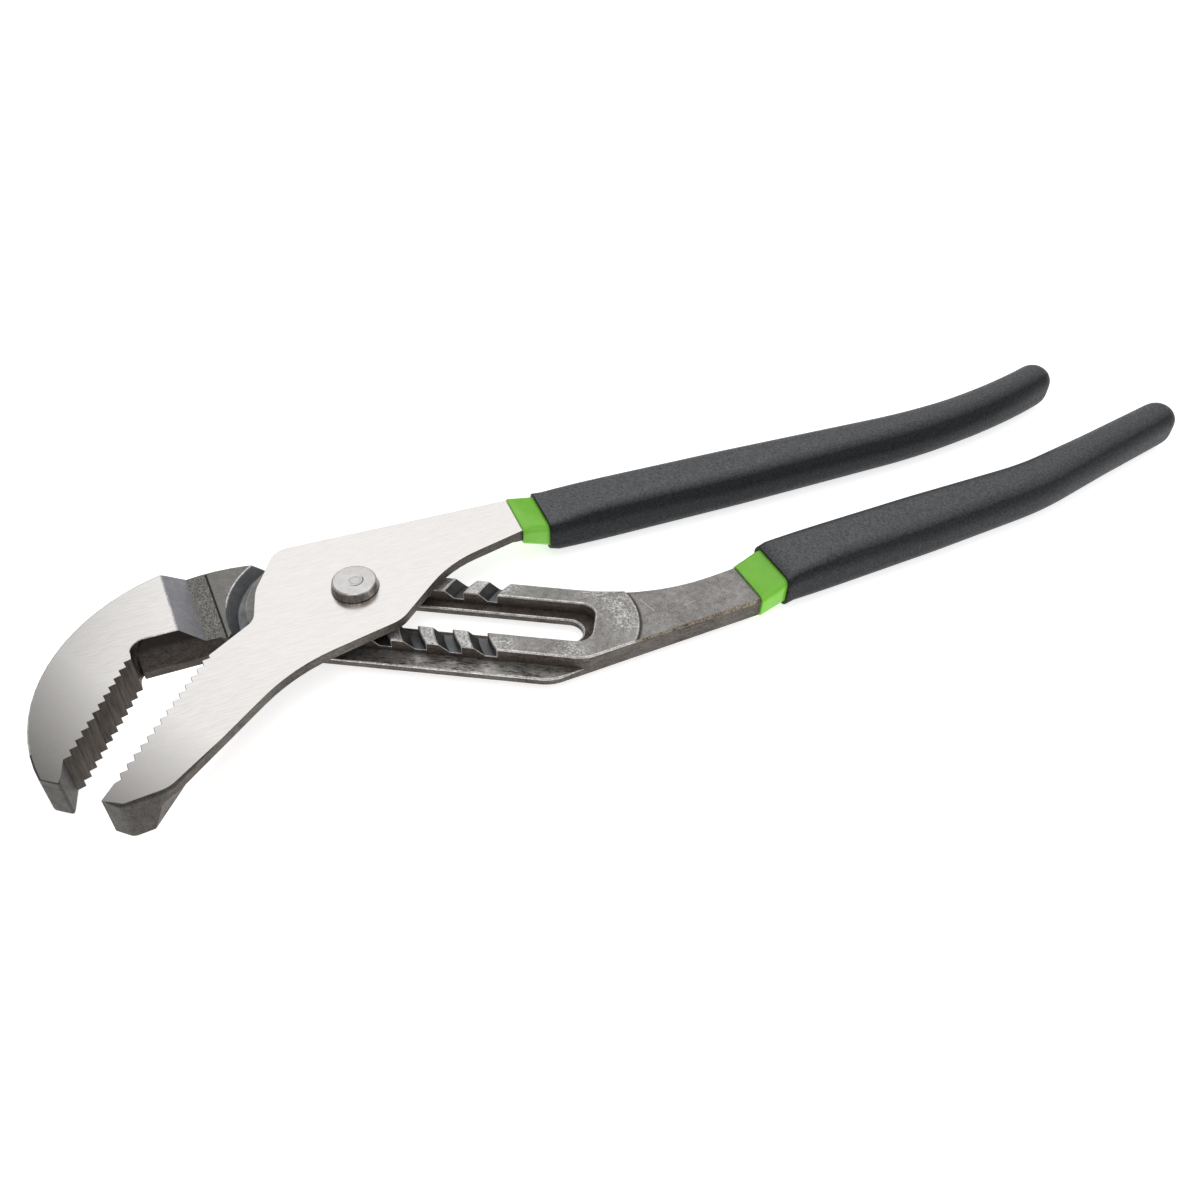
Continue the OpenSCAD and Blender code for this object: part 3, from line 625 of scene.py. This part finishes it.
def bevel_where(piece, test, width, segments, finish=-1):
    """Bevel the sharp edges whose two ends both pass the test, and give the new faces this finish."""
    only(piece)
    bpy.ops.object.mode_set(mode="EDIT")
    bpy.ops.mesh.select_mode(type="EDGE")
    bpy.ops.mesh.select_all(action="DESELECT")
    mesh = bmesh.from_edit_mesh(piece.data)
    found = [edge for edge in filter(is_sharp, mesh.edges)
             if all(test(*drawing_place(vertex.co)) for vertex in edge.verts)]
    for edge in found:
        edge.select_set(True)
    bmesh.update_edit_mesh(piece.data)
    bpy.ops.mesh.bevel(offset=width, offset_type="OFFSET", segments=segments, material=finish)
    bpy.ops.object.mode_set(mode="OBJECT")
    print(piece.name, "bevelled edges", len(found))


def round_edges(piece, width, edge_finish=-1, segments=2):
    """Bevel the marked edges, then let the flat faces keep flat shading beside them."""
    only(piece)
    bevel = piece.modifiers.new("edges", "BEVEL")
    bevel.width = width
    bevel.segments = segments
    bevel.limit_method = "WEIGHT"
    bevel.use_clamp_overlap = False
    bevel.miter_outer = "MITER_ARC"
    bevel.material = edge_finish
    bpy.ops.object.modifier_apply(modifier=bevel.name)
    bpy.ops.object.shade_smooth_by_angle(angle=math.radians(SMOOTH_UNDER))
    weights = piece.modifiers.new("flats", "WEIGHTED_NORMAL")
    weights.keep_sharp = True
    weights.weight = 90
    bpy.ops.object.modifier_apply(modifier=weights.name)
    print(piece.name, "after its edges", len(piece.data.polygons), "faces")


print("edges ready")

# %% [markdown]
# ### The grooved half
# This half has the hooked jaw, the neck behind it, the slot between two rails with their grooves, and the
# shank that runs into the handle. Most of its faces can be told apart by how high they lie and which way
# they face. The grooves, teeth, throat and slot also need a box round their place.

# %% Where things are on the grooved half
FRONT_FROM, BACK_TO = -0.05, -13.3
RAIL_Z, SHANK_Z, CUTS_TO, LEDGE_Z = -5.6, -6, -9, -10.5
JAW_TO, CRESCENT_TO, NOSE_TO, SLOT_LEDGE = -20, -25, -66, 9
CUTS, TEETH, THROAT = (-43, 45, -22, 22), (-60, -53, -78, -38), (-58, -20, -44, -6)
SLOT, RAIL_SIDE = (-22, 78, -8.6, 8.6), (-22, 76, -15.6, -15.3)


def in_groove(x, y, z, normal):
    return CUTS_TO < z < RAIL_Z - 0.01 and inside(x, y, CUTS) and abs(normal.y) <= 0.99


def on_teeth(x, y, z, normal):
    return inside(x, y, TEETH) and abs(normal.z) < 0.2 and normal.x > -0.2


def in_throat(x, y, z, normal):
    return inside(x, y, THROAT) and normal.z < 0.5 and (normal.y < -0.3 or normal.x > 0.3)


def in_slot(x, y, z, normal):
    on_rail = inside(x, y, RAIL_SIDE) and normal.y < -0.9 and z > LEDGE_Z
    return abs(normal.z) < 0.3 and (on_rail or inside(x, y, SLOT))


print("rails at", RAIL_Z, "and ledge at", LEDGE_Z, "mm from the front")

# %% Take over the grooved half and paint it
hook = take_over("grooved_half", "hooked_jaw")
HOOK_FINISHES = [shank_side, hook_cheek, slope_skin, neck_skin, rail_top, shank_top, ledge_skin, slot_skin,
                 groove_floor, groove_wall, tooth_skin, throat_skin, nose_skin, worn_edge, worn_trim,
                 crescent]
paint(hook, HOOK_FINISHES, [
    (hook_cheek, lambda x, y, z, normal: level(normal) and z > FRONT_FROM),
    (hook_cheek, lambda x, y, z, normal: level(normal, -1) and z < BACK_TO),
    (slope_skin, lambda x, y, z, normal: 0.6 < normal.z < 0.97 and x < JAW_TO and z > RAIL_Z - 0.1),
    (neck_skin, lambda x, y, z, normal: level(normal) and x < JAW_TO and abs(z - RAIL_Z) < 0.1),
    (crescent, lambda x, y, z, normal: in_groove(x, y, z, normal) and x < CRESCENT_TO),
    (groove_floor, lambda x, y, z, normal: in_groove(x, y, z, normal) and level(normal)),
    (groove_wall, in_groove),
    (tooth_skin, on_teeth),
    (throat_skin, in_throat),
    (nose_skin, lambda x, y, z, normal: y < NOSE_TO and abs(normal.z) < 0.5),
    (slot_skin, in_slot),
    (slot_skin, lambda x, y, z, normal: level(normal) and z < CUTS_TO and abs(y) < SLOT_LEDGE),
    (ledge_skin, lambda x, y, z, normal: level(normal) and z < CUTS_TO),
    (shank_top, lambda x, y, z, normal: normal.z > 0.9 and z < SHANK_Z),
    (rail_top, lambda x, y, z, normal: normal.z > 0.9),
])

# %% [markdown]
# The grooves are arcs that stand one pitch apart. The arc that a point belongs to tells which pivot
# position its cutter turned round, and the distance to that position is what the groove finish reads.

# %% Store the rings on the grooves
GROOVE_PITCH, GROOVE_MIDDLE = 10.9, 27.5
rings_attribute = hook.data.attributes.new(RINGS, "FLOAT", "POINT")
for index, vertex in enumerate(hook.data.vertices):
    x, y, z = drawing_place(vertex.co)
    on_axis = x + math.sqrt(max(GROOVE_MIDDLE ** 2 - y * y, 0))
    centre = round(on_axis / GROOVE_PITCH) * GROOVE_PITCH
    rings_attribute.data[index].value = math.hypot(x - centre, y)
print("rings stored on", len(rings_attribute.data), "points")

# %% [markdown]
# The jaw's round back and the rails rub against everything, so their edges wear widest. Edges in the
# grooves stay narrow. The scribed line, the teeth and the throat stay as they were cut. Two edges are
# worked first: the corner where the ledge ends is rounded, and the shank's lower edge gets a flat trim
# that is worn to bare steel.

# %% The grooved half's edges
LEDGE_ROUND, TRIM_W, WORN_W = 3 * MM, 0.95 * MM, 0.55 * MM
LEDGE_CORNER, LEDGE_RIM, RAIL_OVER = (60, 90, -16, -15), (-10.6, -10.2), -5.5
TRIM_FROM, TRIM_TO, TRIM_Z, TRIM_SLOPE, TRIM_LINE = 88, 128.5, -6.4, 0.632, -61
TEETH_EDGES, THROAT_EDGES = (-61, -52, -79, -36), (-58, -22, -44, -8)
BACK_CENTRE, BACK_R = (-21.5, -42.05), 56.5


def hook_edge(x, y, z):
    """How much of the bevel's width an edge here takes."""
    along = x * math.cos(math.radians(SLOPE_TURN)) + y * math.sin(math.radians(SLOPE_TURN))
    scribed = abs(along - SCRIBE_AT) < 0.8 and z > -6.5
    throat = inside(x, y, THROAT_EDGES) and z < -2
    trim = TRIM_FROM - 2 < x < TRIM_TO + 1.5 and -7.6 < z < -6.3 and y < TRIM_SLOPE * x + TRIM_LINE + 2
    if scribed or throat or trim or inside(x, y, TEETH_EDGES):
        return 0
    on_back = math.hypot(x - BACK_CENTRE[0], y - BACK_CENTRE[1]) > BACK_R and x < -25
    rubbed = x > JAW_TO and (z > RAIL_Z - 0.1 or LEDGE_RIM[0] < z < LEDGE_RIM[1])
    in_cuts = CUTS_TO < z < RAIL_Z - 0.1 and inside(x, y, CUTS)
    return 1 if on_back or rubbed else 0.3 if in_cuts else 0.5


def on_trim(x, y, z):
    return TRIM_FROM < x < TRIM_TO and abs(z - TRIM_Z) < 0.05 and y < TRIM_SLOPE * x + TRIM_LINE


def on_ledge_corner(x, y, z):
    return inside(x, y, LEDGE_CORNER) and LEDGE_RIM[0] < z < RAIL_OVER


bevel_where(hook, on_ledge_corner, LEDGE_ROUND, 5)
bevel_where(hook, on_trim, TRIM_W, 1, finish=HOOK_FINISHES.index(worn_trim))
mark_edges(hook, hook_edge)
round_edges(hook, WORN_W, edge_finish=HOOK_FINISHES.index(worn_edge), segments=3)

# %% [markdown]
# The nose is the last part that anything touches, so its edges keep their skin. They are picked after the
# bevel and painted over.

# %% Keep the skin on the nose
NOSE_EDGES_TO = -76
only(hook)
bpy.ops.object.mode_set(mode="EDIT")
nose_faces = pick(hook, lambda x, y, z, normal: y < NOSE_EDGES_TO and abs(normal.z) < 0.99)
hook.active_material_index = HOOK_FINISHES.index(nose_skin)
bpy.ops.object.material_slot_assign()
bpy.ops.object.mode_set(mode="OBJECT")
print("the nose keeps its skin on", nose_faces, "faces")

# %% [markdown]
# ### The tongue half
# This half is a ground plate with the straight jaw. The jaw's back is ground as well, and the plate's
# underside is dark. The nose has a wide chamfer along its ground cheek.

# %% Take over the tongue half and paint it
straight = take_over("tongue_half", "straight_jaw")
STRAIGHT_FINISHES = [shank_side, plate_cheek, tooth_skin, nose_skin, slot_skin]


def on_straight_teeth(x, y, z, normal):
    return x < -30 and y < -28 and normal.x < -0.1 and abs(normal.z) < 0.2


paint(straight, STRAIGHT_FINISHES, [
    (plate_cheek, lambda x, y, z, normal: level(normal) and z > FRONT_FROM),
    (plate_cheek, lambda x, y, z, normal: level(normal, -1) and z < BACK_TO),
    # The nose's right facet, under the draft, gets the near-black slot skin as painted shade.
    (slot_skin, lambda x, y, z, normal: y < -70 and normal.x > 0.7 and normal.z < 0.2),
    (nose_skin, lambda x, y, z, normal: y < -73 and abs(normal.z) < 0.5 and normal.y < 0),
    (tooth_skin, on_straight_teeth),
    (slot_skin, lambda x, y, z, normal: normal.z < -0.2),
])

# %% The tongue half's chamfer and edges
CHAMFER_W, PLATE_EDGE_W = 0.75 * MM, 0.22 * MM
bevel_where(straight, lambda x, y, z: z > -0.01 and y < NOSE_EDGES_TO and x > -41, CHAMFER_W, 1,
            finish=STRAIGHT_FINISHES.index(nose_skin))
mark_edges(straight, lambda x, y, z: 1)
round_edges(straight, PLATE_EDGE_W)

# %% [markdown]
# ## Bolt and nut
# Both are turned on a lathe. A turned piece can be drawn by a circle that is pulled up step by step and
# made wider or narrower at each step, which follows the cutter. The nut's middle is punched after
# riveting, so it has a shallow ring in place of a seam.

# %% A turned piece
def turned(name, profile, around=96):
    """Pull a circle up through radii and heights in millimetres, from the bottom to the top."""
    bpy.ops.object.select_all(action="DESELECT")
    radius, height = profile[0]
    bpy.ops.mesh.primitive_circle_add(vertices=around, radius=radius * MM, fill_type="NGON",
                                      location=(PIVOT.x, PIVOT.y, height * MM))
    piece = bpy.context.object
    piece.name = name
    bpy.ops.object.transform_apply(location=True, rotation=True, scale=True)
    bpy.ops.object.mode_set(mode="EDIT")
    bpy.ops.mesh.select_mode(type="FACE")
    bpy.ops.mesh.select_all(action="SELECT")
    for wide, high in profile[1:]:
        bpy.ops.mesh.extrude_region_move(TRANSFORM_OT_translate={"value": (0, 0, (high - height) * MM)})
        bpy.ops.transform.resize(value=(wide / radius, wide / radius, 1),
                                 center_override=(PIVOT.x, PIVOT.y, high * MM))
        radius, height = wide, high
    bpy.ops.mesh.select_all(action="SELECT")
    bpy.ops.mesh.normals_make_consistent(inside=False)
    bpy.ops.object.mode_set(mode="OBJECT")
    bpy.ops.object.shade_smooth_by_angle(angle=math.radians(34))
    print(name, "turned with", len(profile), "steps,", len(piece.data.polygons), "faces")
    return piece


print("turning ready")

# %% Turn the nut and the bolt
NUT_GAP, NUT_FOOT = 0.2, 0.04
NUT_Z = FRONT_Z / MM + NUT_GAP
NUT_SEAT = FRONT_Z / MM + NUT_FOOT
FOOT_R, SIDE_R, RIM_R, FLAT_R = 7.1, 7.28, 6.95, 6.3
RIM_Z, RIM_RISE = 2.3, 0.75
quarter_turn = [math.radians(angle) for angle in range(0, 91, 15)]
NUT_SIDE = [(FOOT_R, NUT_SEAT), (SIDE_R, NUT_SEAT + 0.15), (SIDE_R, NUT_Z + 0.4)]
NUT_RIM = [(FLAT_R + (RIM_R - FLAT_R) * math.cos(angle), NUT_Z + RIM_Z + RIM_RISE * math.sin(angle))
           for angle in quarter_turn]
NUT_FACE = [(5.0, 3.08), (4.0, 3.11), (3.1, 3.12), (2.75, 3.10), (2.45, 3.05), (2.15, 3.01), (1.85, 3.02),
            (1.5, 3.08), (1.1, 3.12), (0.5, 3.13), (0.15, 3.13)]
nut_top = [(radius, NUT_Z + height) for radius, height in NUT_FACE]
button = turned("pivot_button", NUT_SIDE + NUT_RIM + nut_top)
# The side faces get the darker finish, a painted dark reflection.
paint(button, [pivot_polish, pivot_side_dark_reflection], [(pivot_side_dark_reflection, lambda x, y, z, normal: -0.9 < normal.z < 0.55)])
HEAD_AND_SHANK = [(8.0, 0.0), (8.6, 0.15), (8.9, 0.5), (9.0, 0.95), (9.0, 2.35), (4.9, 2.36), (4.9, 16.0)]
bolt = turned("pivot_bolt_shank", HEAD_AND_SHANK)
bolt.data.materials.append(pivot_polish)

# %% [markdown]
# The punched ring isn't quite in the middle of the nut, because the punch was held by hand. So the faces
# inside it are picked and moved to where the finish has its dull ring.

# %% Move the punched ring off centre
PUNCH_R, PUNCH_OVER = 2.45, 2.9
only(button)
bpy.ops.object.mode_set(mode="EDIT")
moved = pick(button, lambda x, y, z, normal: z > NUT_GAP + PUNCH_OVER and math.hypot(x, y) < PUNCH_R)
bpy.ops.transform.translate(value=(PUNCH_AT[0] * MM, PUNCH_AT[1] * MM, 0))
bpy.ops.object.mode_set(mode="OBJECT")
print("punched ring moved,", moved, "faces")

# %% [markdown]
# ## Dipped coats
# Each coat is a sock over the handle. The handle's line is a straight run, a bend and a short straight
# end. Its section starts as a flat bar with small round corners, and on the way to the end it gets
# narrower and its corners grow until it is all but round. Extruding can't make corners grow, so a flat
# grid is rolled round the handle like a sheet of clay: each column of the grid is a place on the section,
# and each row is a place along the handle.

# %% The handles' lines
HANDLES = {
    "hooked": {"start": (122.3, 26.8), "turn": 32.3, "straight": 111, "bend_r": 156, "bend": 8.8,
               "length": 206.9, "set": -1.4, "root": (-12.9, -6.5)},
    "straight": {"start": (42.9, 43.1), "turn": 28.5, "straight": 146, "bend_r": 286, "bend": 17.1,
                 "length": 239.7, "set": -0.8, "root": (-5.3, -0.1)},
}
ROOT_AT, SETTLE = 0.25, 12


def share(value):
    return min(max(value, 0), 1)


def settled(s):
    """0 where the shank runs into the handle, and 1 from where the handle has its own section."""
    return share((s - ROOT_AT) / SETTLE)


def bend_length(handle):
    return handle["bend_r"] * math.radians(handle["bend"])


def heading(handle, s):
    bent = share((s - handle["straight"]) / bend_length(handle))
    return math.radians(handle["turn"] + handle["bend"] * bent)


def line_at(handle, s):
    """The handle's middle, s millimetres along it, in millimetres from the pivot."""
    turn, radius = math.radians(handle["turn"]), handle["bend_r"]
    x, y = handle["start"]
    run = min(s, handle["straight"])
    x, y = x + run * math.cos(turn), y + run * math.sin(turn)
    end = heading(handle, s)
    x, y = x - radius * (math.sin(turn) - math.sin(end)), y + radius * (math.cos(turn) - math.cos(end))
    rest = max(s - handle["straight"] - bend_length(handle), 0)
    x, y = x + rest * math.cos(end), y + rest * math.sin(end)
    aside = handle["set"] * (1 - settled(s))
    return x - aside * math.sin(end), y + aside * math.cos(end)


for name, handle in HANDLES.items():
    print(name, "handle ends at", [round(v, 1) for v in line_at(handle, handle["length"])])

# %% [markdown]
# The section is a bar with four round corners. The green coat follows the steel under it. The thick black
# coat sags before it sets, so behind the collar its corners get rounder and its top and bottom get
# fuller.

# %% The coats' section
STEEL_W, STEEL_TIP_W = 16.9, 9.6
STEEL_T, STEEL_TIP_T = 7.6, 11.4
STEEL_R, STEEL_TIP_R = 1.2, 3.8
FULLER, FULLER_TIP = 0.85, 0.4
TAPER_FROM, ROUND_FROM, ROUND_TO = 0.35, 0.08, 0.85
COLLAR, SAG_IN = 9.6, 26
MIDDLE_Z = -6.7
CORNER_STEPS = 10
AROUND = 4 * (CORNER_STEPS + 1)


def mix(a, b, part):
    return a + (b - a) * share(part)


def ring_at(handle, s, grow, keep, sag=0):
    """The points round the handle s millimetres along it, this far off the steel. keep draws them in at the
    end, and sag makes the corners rounder and the top and bottom fuller."""
    along = s / handle["length"]
    taper = (along - TAPER_FROM) / (1 - TAPER_FROM)
    half, rise = (mix(STEEL_W, STEEL_TIP_W, taper) / 2 + grow) * keep, mix(STEEL_T, STEEL_TIP_T, taper) / 2
    sag *= math.sin(math.pi / 2 * share((s - COLLAR) / SAG_IN))
    over = grow + mix(FULLER, FULLER_TIP, taper) * sag
    low = mix(handle["root"][0], MIDDLE_Z - rise, settled(s)) - over
    high = mix(handle["root"][1], MIDDLE_Z + rise, settled(s)) + over
    rise = (high - low) / 2 * keep
    corner = mix(STEEL_R, STEEL_TIP_R, (along - ROUND_FROM) / (ROUND_TO - ROUND_FROM)) + grow + sag
    corner = min(corner, 0.98 * half, 0.98 * rise)
    middle = PIVOT / MM + Vector((*line_at(handle, s), (low + high) / 2 + FRONT_Z / MM))
    turn = heading(handle, s)
    across, up = Vector((-math.sin(turn), math.cos(turn), 0)), Vector((0, 0, 1))
    points = []
    for quarter in range(4):
        corner_at = across * (half - corner) * (1 if quarter in (0, 3) else -1)
        corner_at = middle + corner_at + up * (rise - corner) * (1 if quarter < 2 else -1)
        for i in range(CORNER_STEPS + 1):
            angle = math.radians(90 * (quarter + i / CORNER_STEPS))
            points.append((corner_at + corner * (across * math.cos(angle) + up * math.sin(angle))) * MM)
    return points


print("points round a coat", len(ring_at(HANDLES["hooked"], 50, 1, 1)))

# %% Roll a grid round a handle
END_CAP = 8.5
ROW_GAP = 3.5
END_ROWS = 14
LIP_R = 0.3


def rows_along(handle, start, cap):
    """Places along the handle from start to its end, each with how far the section is drawn in there."""
    end = handle["length"] - END_CAP
    count = round((end - start) / ROW_GAP)
    rows = [(start + (end - start) * i / count, 1) for i in range(count + 1)]
    turns = [math.pi / 2 * i / END_ROWS for i in range(1, END_ROWS + 1)]
    return rows + [(end + cap * math.sin(turn), max(math.cos(turn), 0)) for turn in turns]


def dip(name, handle, start, grow, wall, cap, sag, finish):
    """A coat that starts here along the handle, stands this far off the steel, is this thick and has an end
    of this length."""
    rows = rows_along(handle, start, cap)
    rings = [ring_at(handle, s, grow, keep, sag) for s, keep in rows]
    bpy.ops.object.select_all(action="DESELECT")
    bpy.ops.mesh.primitive_grid_add(x_subdivisions=AROUND, y_subdivisions=len(rows) - 1, size=2)
    piece = bpy.context.object
    piece.name = name
    for vertex in piece.data.vertices:
        column = round((vertex.co.x + 1) / 2 * AROUND)
        row = round((vertex.co.y + 1) / 2 * (len(rows) - 1))
        vertex.co = rings[row][column % AROUND]
    bpy.ops.object.mode_set(mode="EDIT")
    bpy.ops.mesh.select_all(action="SELECT")
    bpy.ops.mesh.remove_doubles(threshold=0.002 * MM)
    bpy.ops.mesh.normals_make_consistent(inside=False)
    bpy.ops.object.mode_set(mode="OBJECT")
    skin = piece.modifiers.new("skin", "SOLIDIFY")
    skin.thickness = wall * MM
    skin.offset = -1
    skin.use_even_offset = True
    lip = piece.modifiers.new("lip", "BEVEL")
    lip.width = LIP_R * MM
    lip.segments = 3
    lip.limit_method = "ANGLE"
    lip.angle_limit = math.radians(50)
    apply_all(piece)
    bpy.ops.object.shade_smooth_by_angle(angle=math.radians(40))
    piece.data.materials.append(finish)
    print(name, "has", len(piece.data.polygons), "faces in", len(rows), "rows")
    return piece


print("dipping ready")

# %% [markdown]
# Every handle goes into the green first and then into the black, which stops short of the green so that a
# collar shows. The walls are a hair thinner than the space they have, so that no two coats share a
# surface.

# %% Dip both handles twice
GREEN_OUT, BLACK_OUT = 1.0, 2.22
DIPS = {
    "green": {"start": 0.02, "grow": GREEN_OUT, "wall": 0.97, "cap": END_CAP - (BLACK_OUT - GREEN_OUT),
              "sag": 0, "finish": green_coat},
    "black": {"start": COLLAR, "grow": BLACK_OUT, "wall": 1.18, "cap": END_CAP,
              "sag": 2.4, "finish": black_coat},
}
coats = {(side, colour): dip(f"{side}_{colour}_coat", handle, **sizes)
         for side, handle in HANDLES.items() for colour, sizes in DIPS.items()}
print("coats", len(coats))

# %% [markdown]
# ## Riding on the frame
# Every piece is tied to the body that carries it, and the solid that it stands for is hidden, so that the
# joints move the dressed tool as they move the bare one.

# %% Tie each piece to its body
RIDES = [
    (hook, "hooked_jaw_half", "grooved_half", "forged_steel"),
    (coats["hooked", "green"], "hooked_jaw_half", "grooved_half_sleeve", "green_dip"),
    (coats["hooked", "black"], "hooked_jaw_half", "grooved_half_grip", "black_dip"),
    (straight, "straight_jaw_half", "tongue_half", "ground_steel"),
    (coats["straight", "green"], "straight_jaw_half", "tongue_half_sleeve", "green_dip"),
    (coats["straight", "black"], "straight_jaw_half", "tongue_half_grip", "black_dip"),
    (bolt, "pivot", "pivot_bolt", "pivot_steel"),
    (button, "pivot", "pivot_nut", "pivot_steel"),
]
for piece, body, node, finish_slot in RIDES:
    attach(piece, body)
    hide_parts(node)
print("pieces tied:", len(RIDES))

# %% [markdown]
# ## Studio
# The tool lies on a plain white light table, which glows a little and so keeps its shadow faint. It lies
# a hair under the bolt's head, so that the two don't share a surface.

# %% Light table
FLOOR_SIZE, FLOOR_Z, FLOOR_GLOW = 8, -0.1 * MM, 0.72
bpy.ops.object.select_all(action="DESELECT")
bpy.ops.mesh.primitive_plane_add(size=FLOOR_SIZE, location=(0, 0, FLOOR_Z))
floor = bpy.context.object
floor.name = "studio_floor"
pale_floor, tree, shader = new_finish("pale_floor")
paper = noise(tree, place(tree), 30 * MM, 3)
white = blend_colours(tree, paper, (0.90, 0.90, 0.90), (0.93, 0.93, 0.93))
tree.links.new(white, shader.inputs["Base Color"])
shader.inputs["Roughness"].default_value = 0.9
shader.inputs["Specular IOR Level"].default_value = 0.1
shader.inputs["Emission Color"].default_value = (1, 1, 1, 1)
shader.inputs["Emission Strength"].default_value = FLOOR_GLOW
floor.data.materials.append(pale_floor)
print("floor", floor.name)

# %% [markdown]
# Steel shows what it mirrors. The panel behind and above the tool is what the cheeks mirror towards the
# camera, so it sets how bright they are. A ceiling panel lights the table and the tops, one on the right
# fills the sides, and a narrow one in front gives the noses and the handles' near sides some light.

# %% Light
PANELS = {
    "back_panel": {"at": (-0.25, 0.93, 1.02), "aim": (-0.25, 0, 0), "size": (1.42, 0.9), "glow": 0.68},
    "ceiling_panel": {"at": (0.1, -0.05, 1.3), "aim": (0, 0, 0), "size": (1.4, 1.2), "glow": 0.8},
    "right_panel": {"at": (1.1, -0.2, 0.6), "aim": (0, 0, 0), "size": (0.8, 0.8), "glow": 0.6},
    "front_panel": {"at": (-0.1, -0.7, 1.15), "aim": (0, 0, 0), "size": (0.9, 0.3), "glow": 1.0},
}
ROOM_GLOW = 0.38


def hang_panel(name, at, aim, size, glow):
    """A soft panel of light, this many metres wide and high, that faces a point. glow is how bright the
    panel itself is."""
    bpy.ops.object.light_add(type="AREA", location=at)
    light = bpy.context.object
    light.name = name
    light.data.shape = "RECTANGLE"
    light.data.size, light.data.size_y = size
    light.data.energy = glow * math.pi * size[0] * size[1]
    light.rotation_euler = (Vector(aim) - Vector(at)).to_track_quat("-Z", "Y").to_euler()


for name, sizes in PANELS.items():
    hang_panel(name, **sizes)
world = bpy.data.worlds.new("studio") if bpy.context.scene.world is None else bpy.context.scene.world
bpy.context.scene.world = world
world.use_nodes = True
room = world.node_tree.nodes["Background"]
room.inputs["Color"].default_value = (1, 1, 1, 1)
room.inputs["Strength"].default_value = ROOM_GLOW
bpy.context.scene.view_settings.view_transform = "Standard"
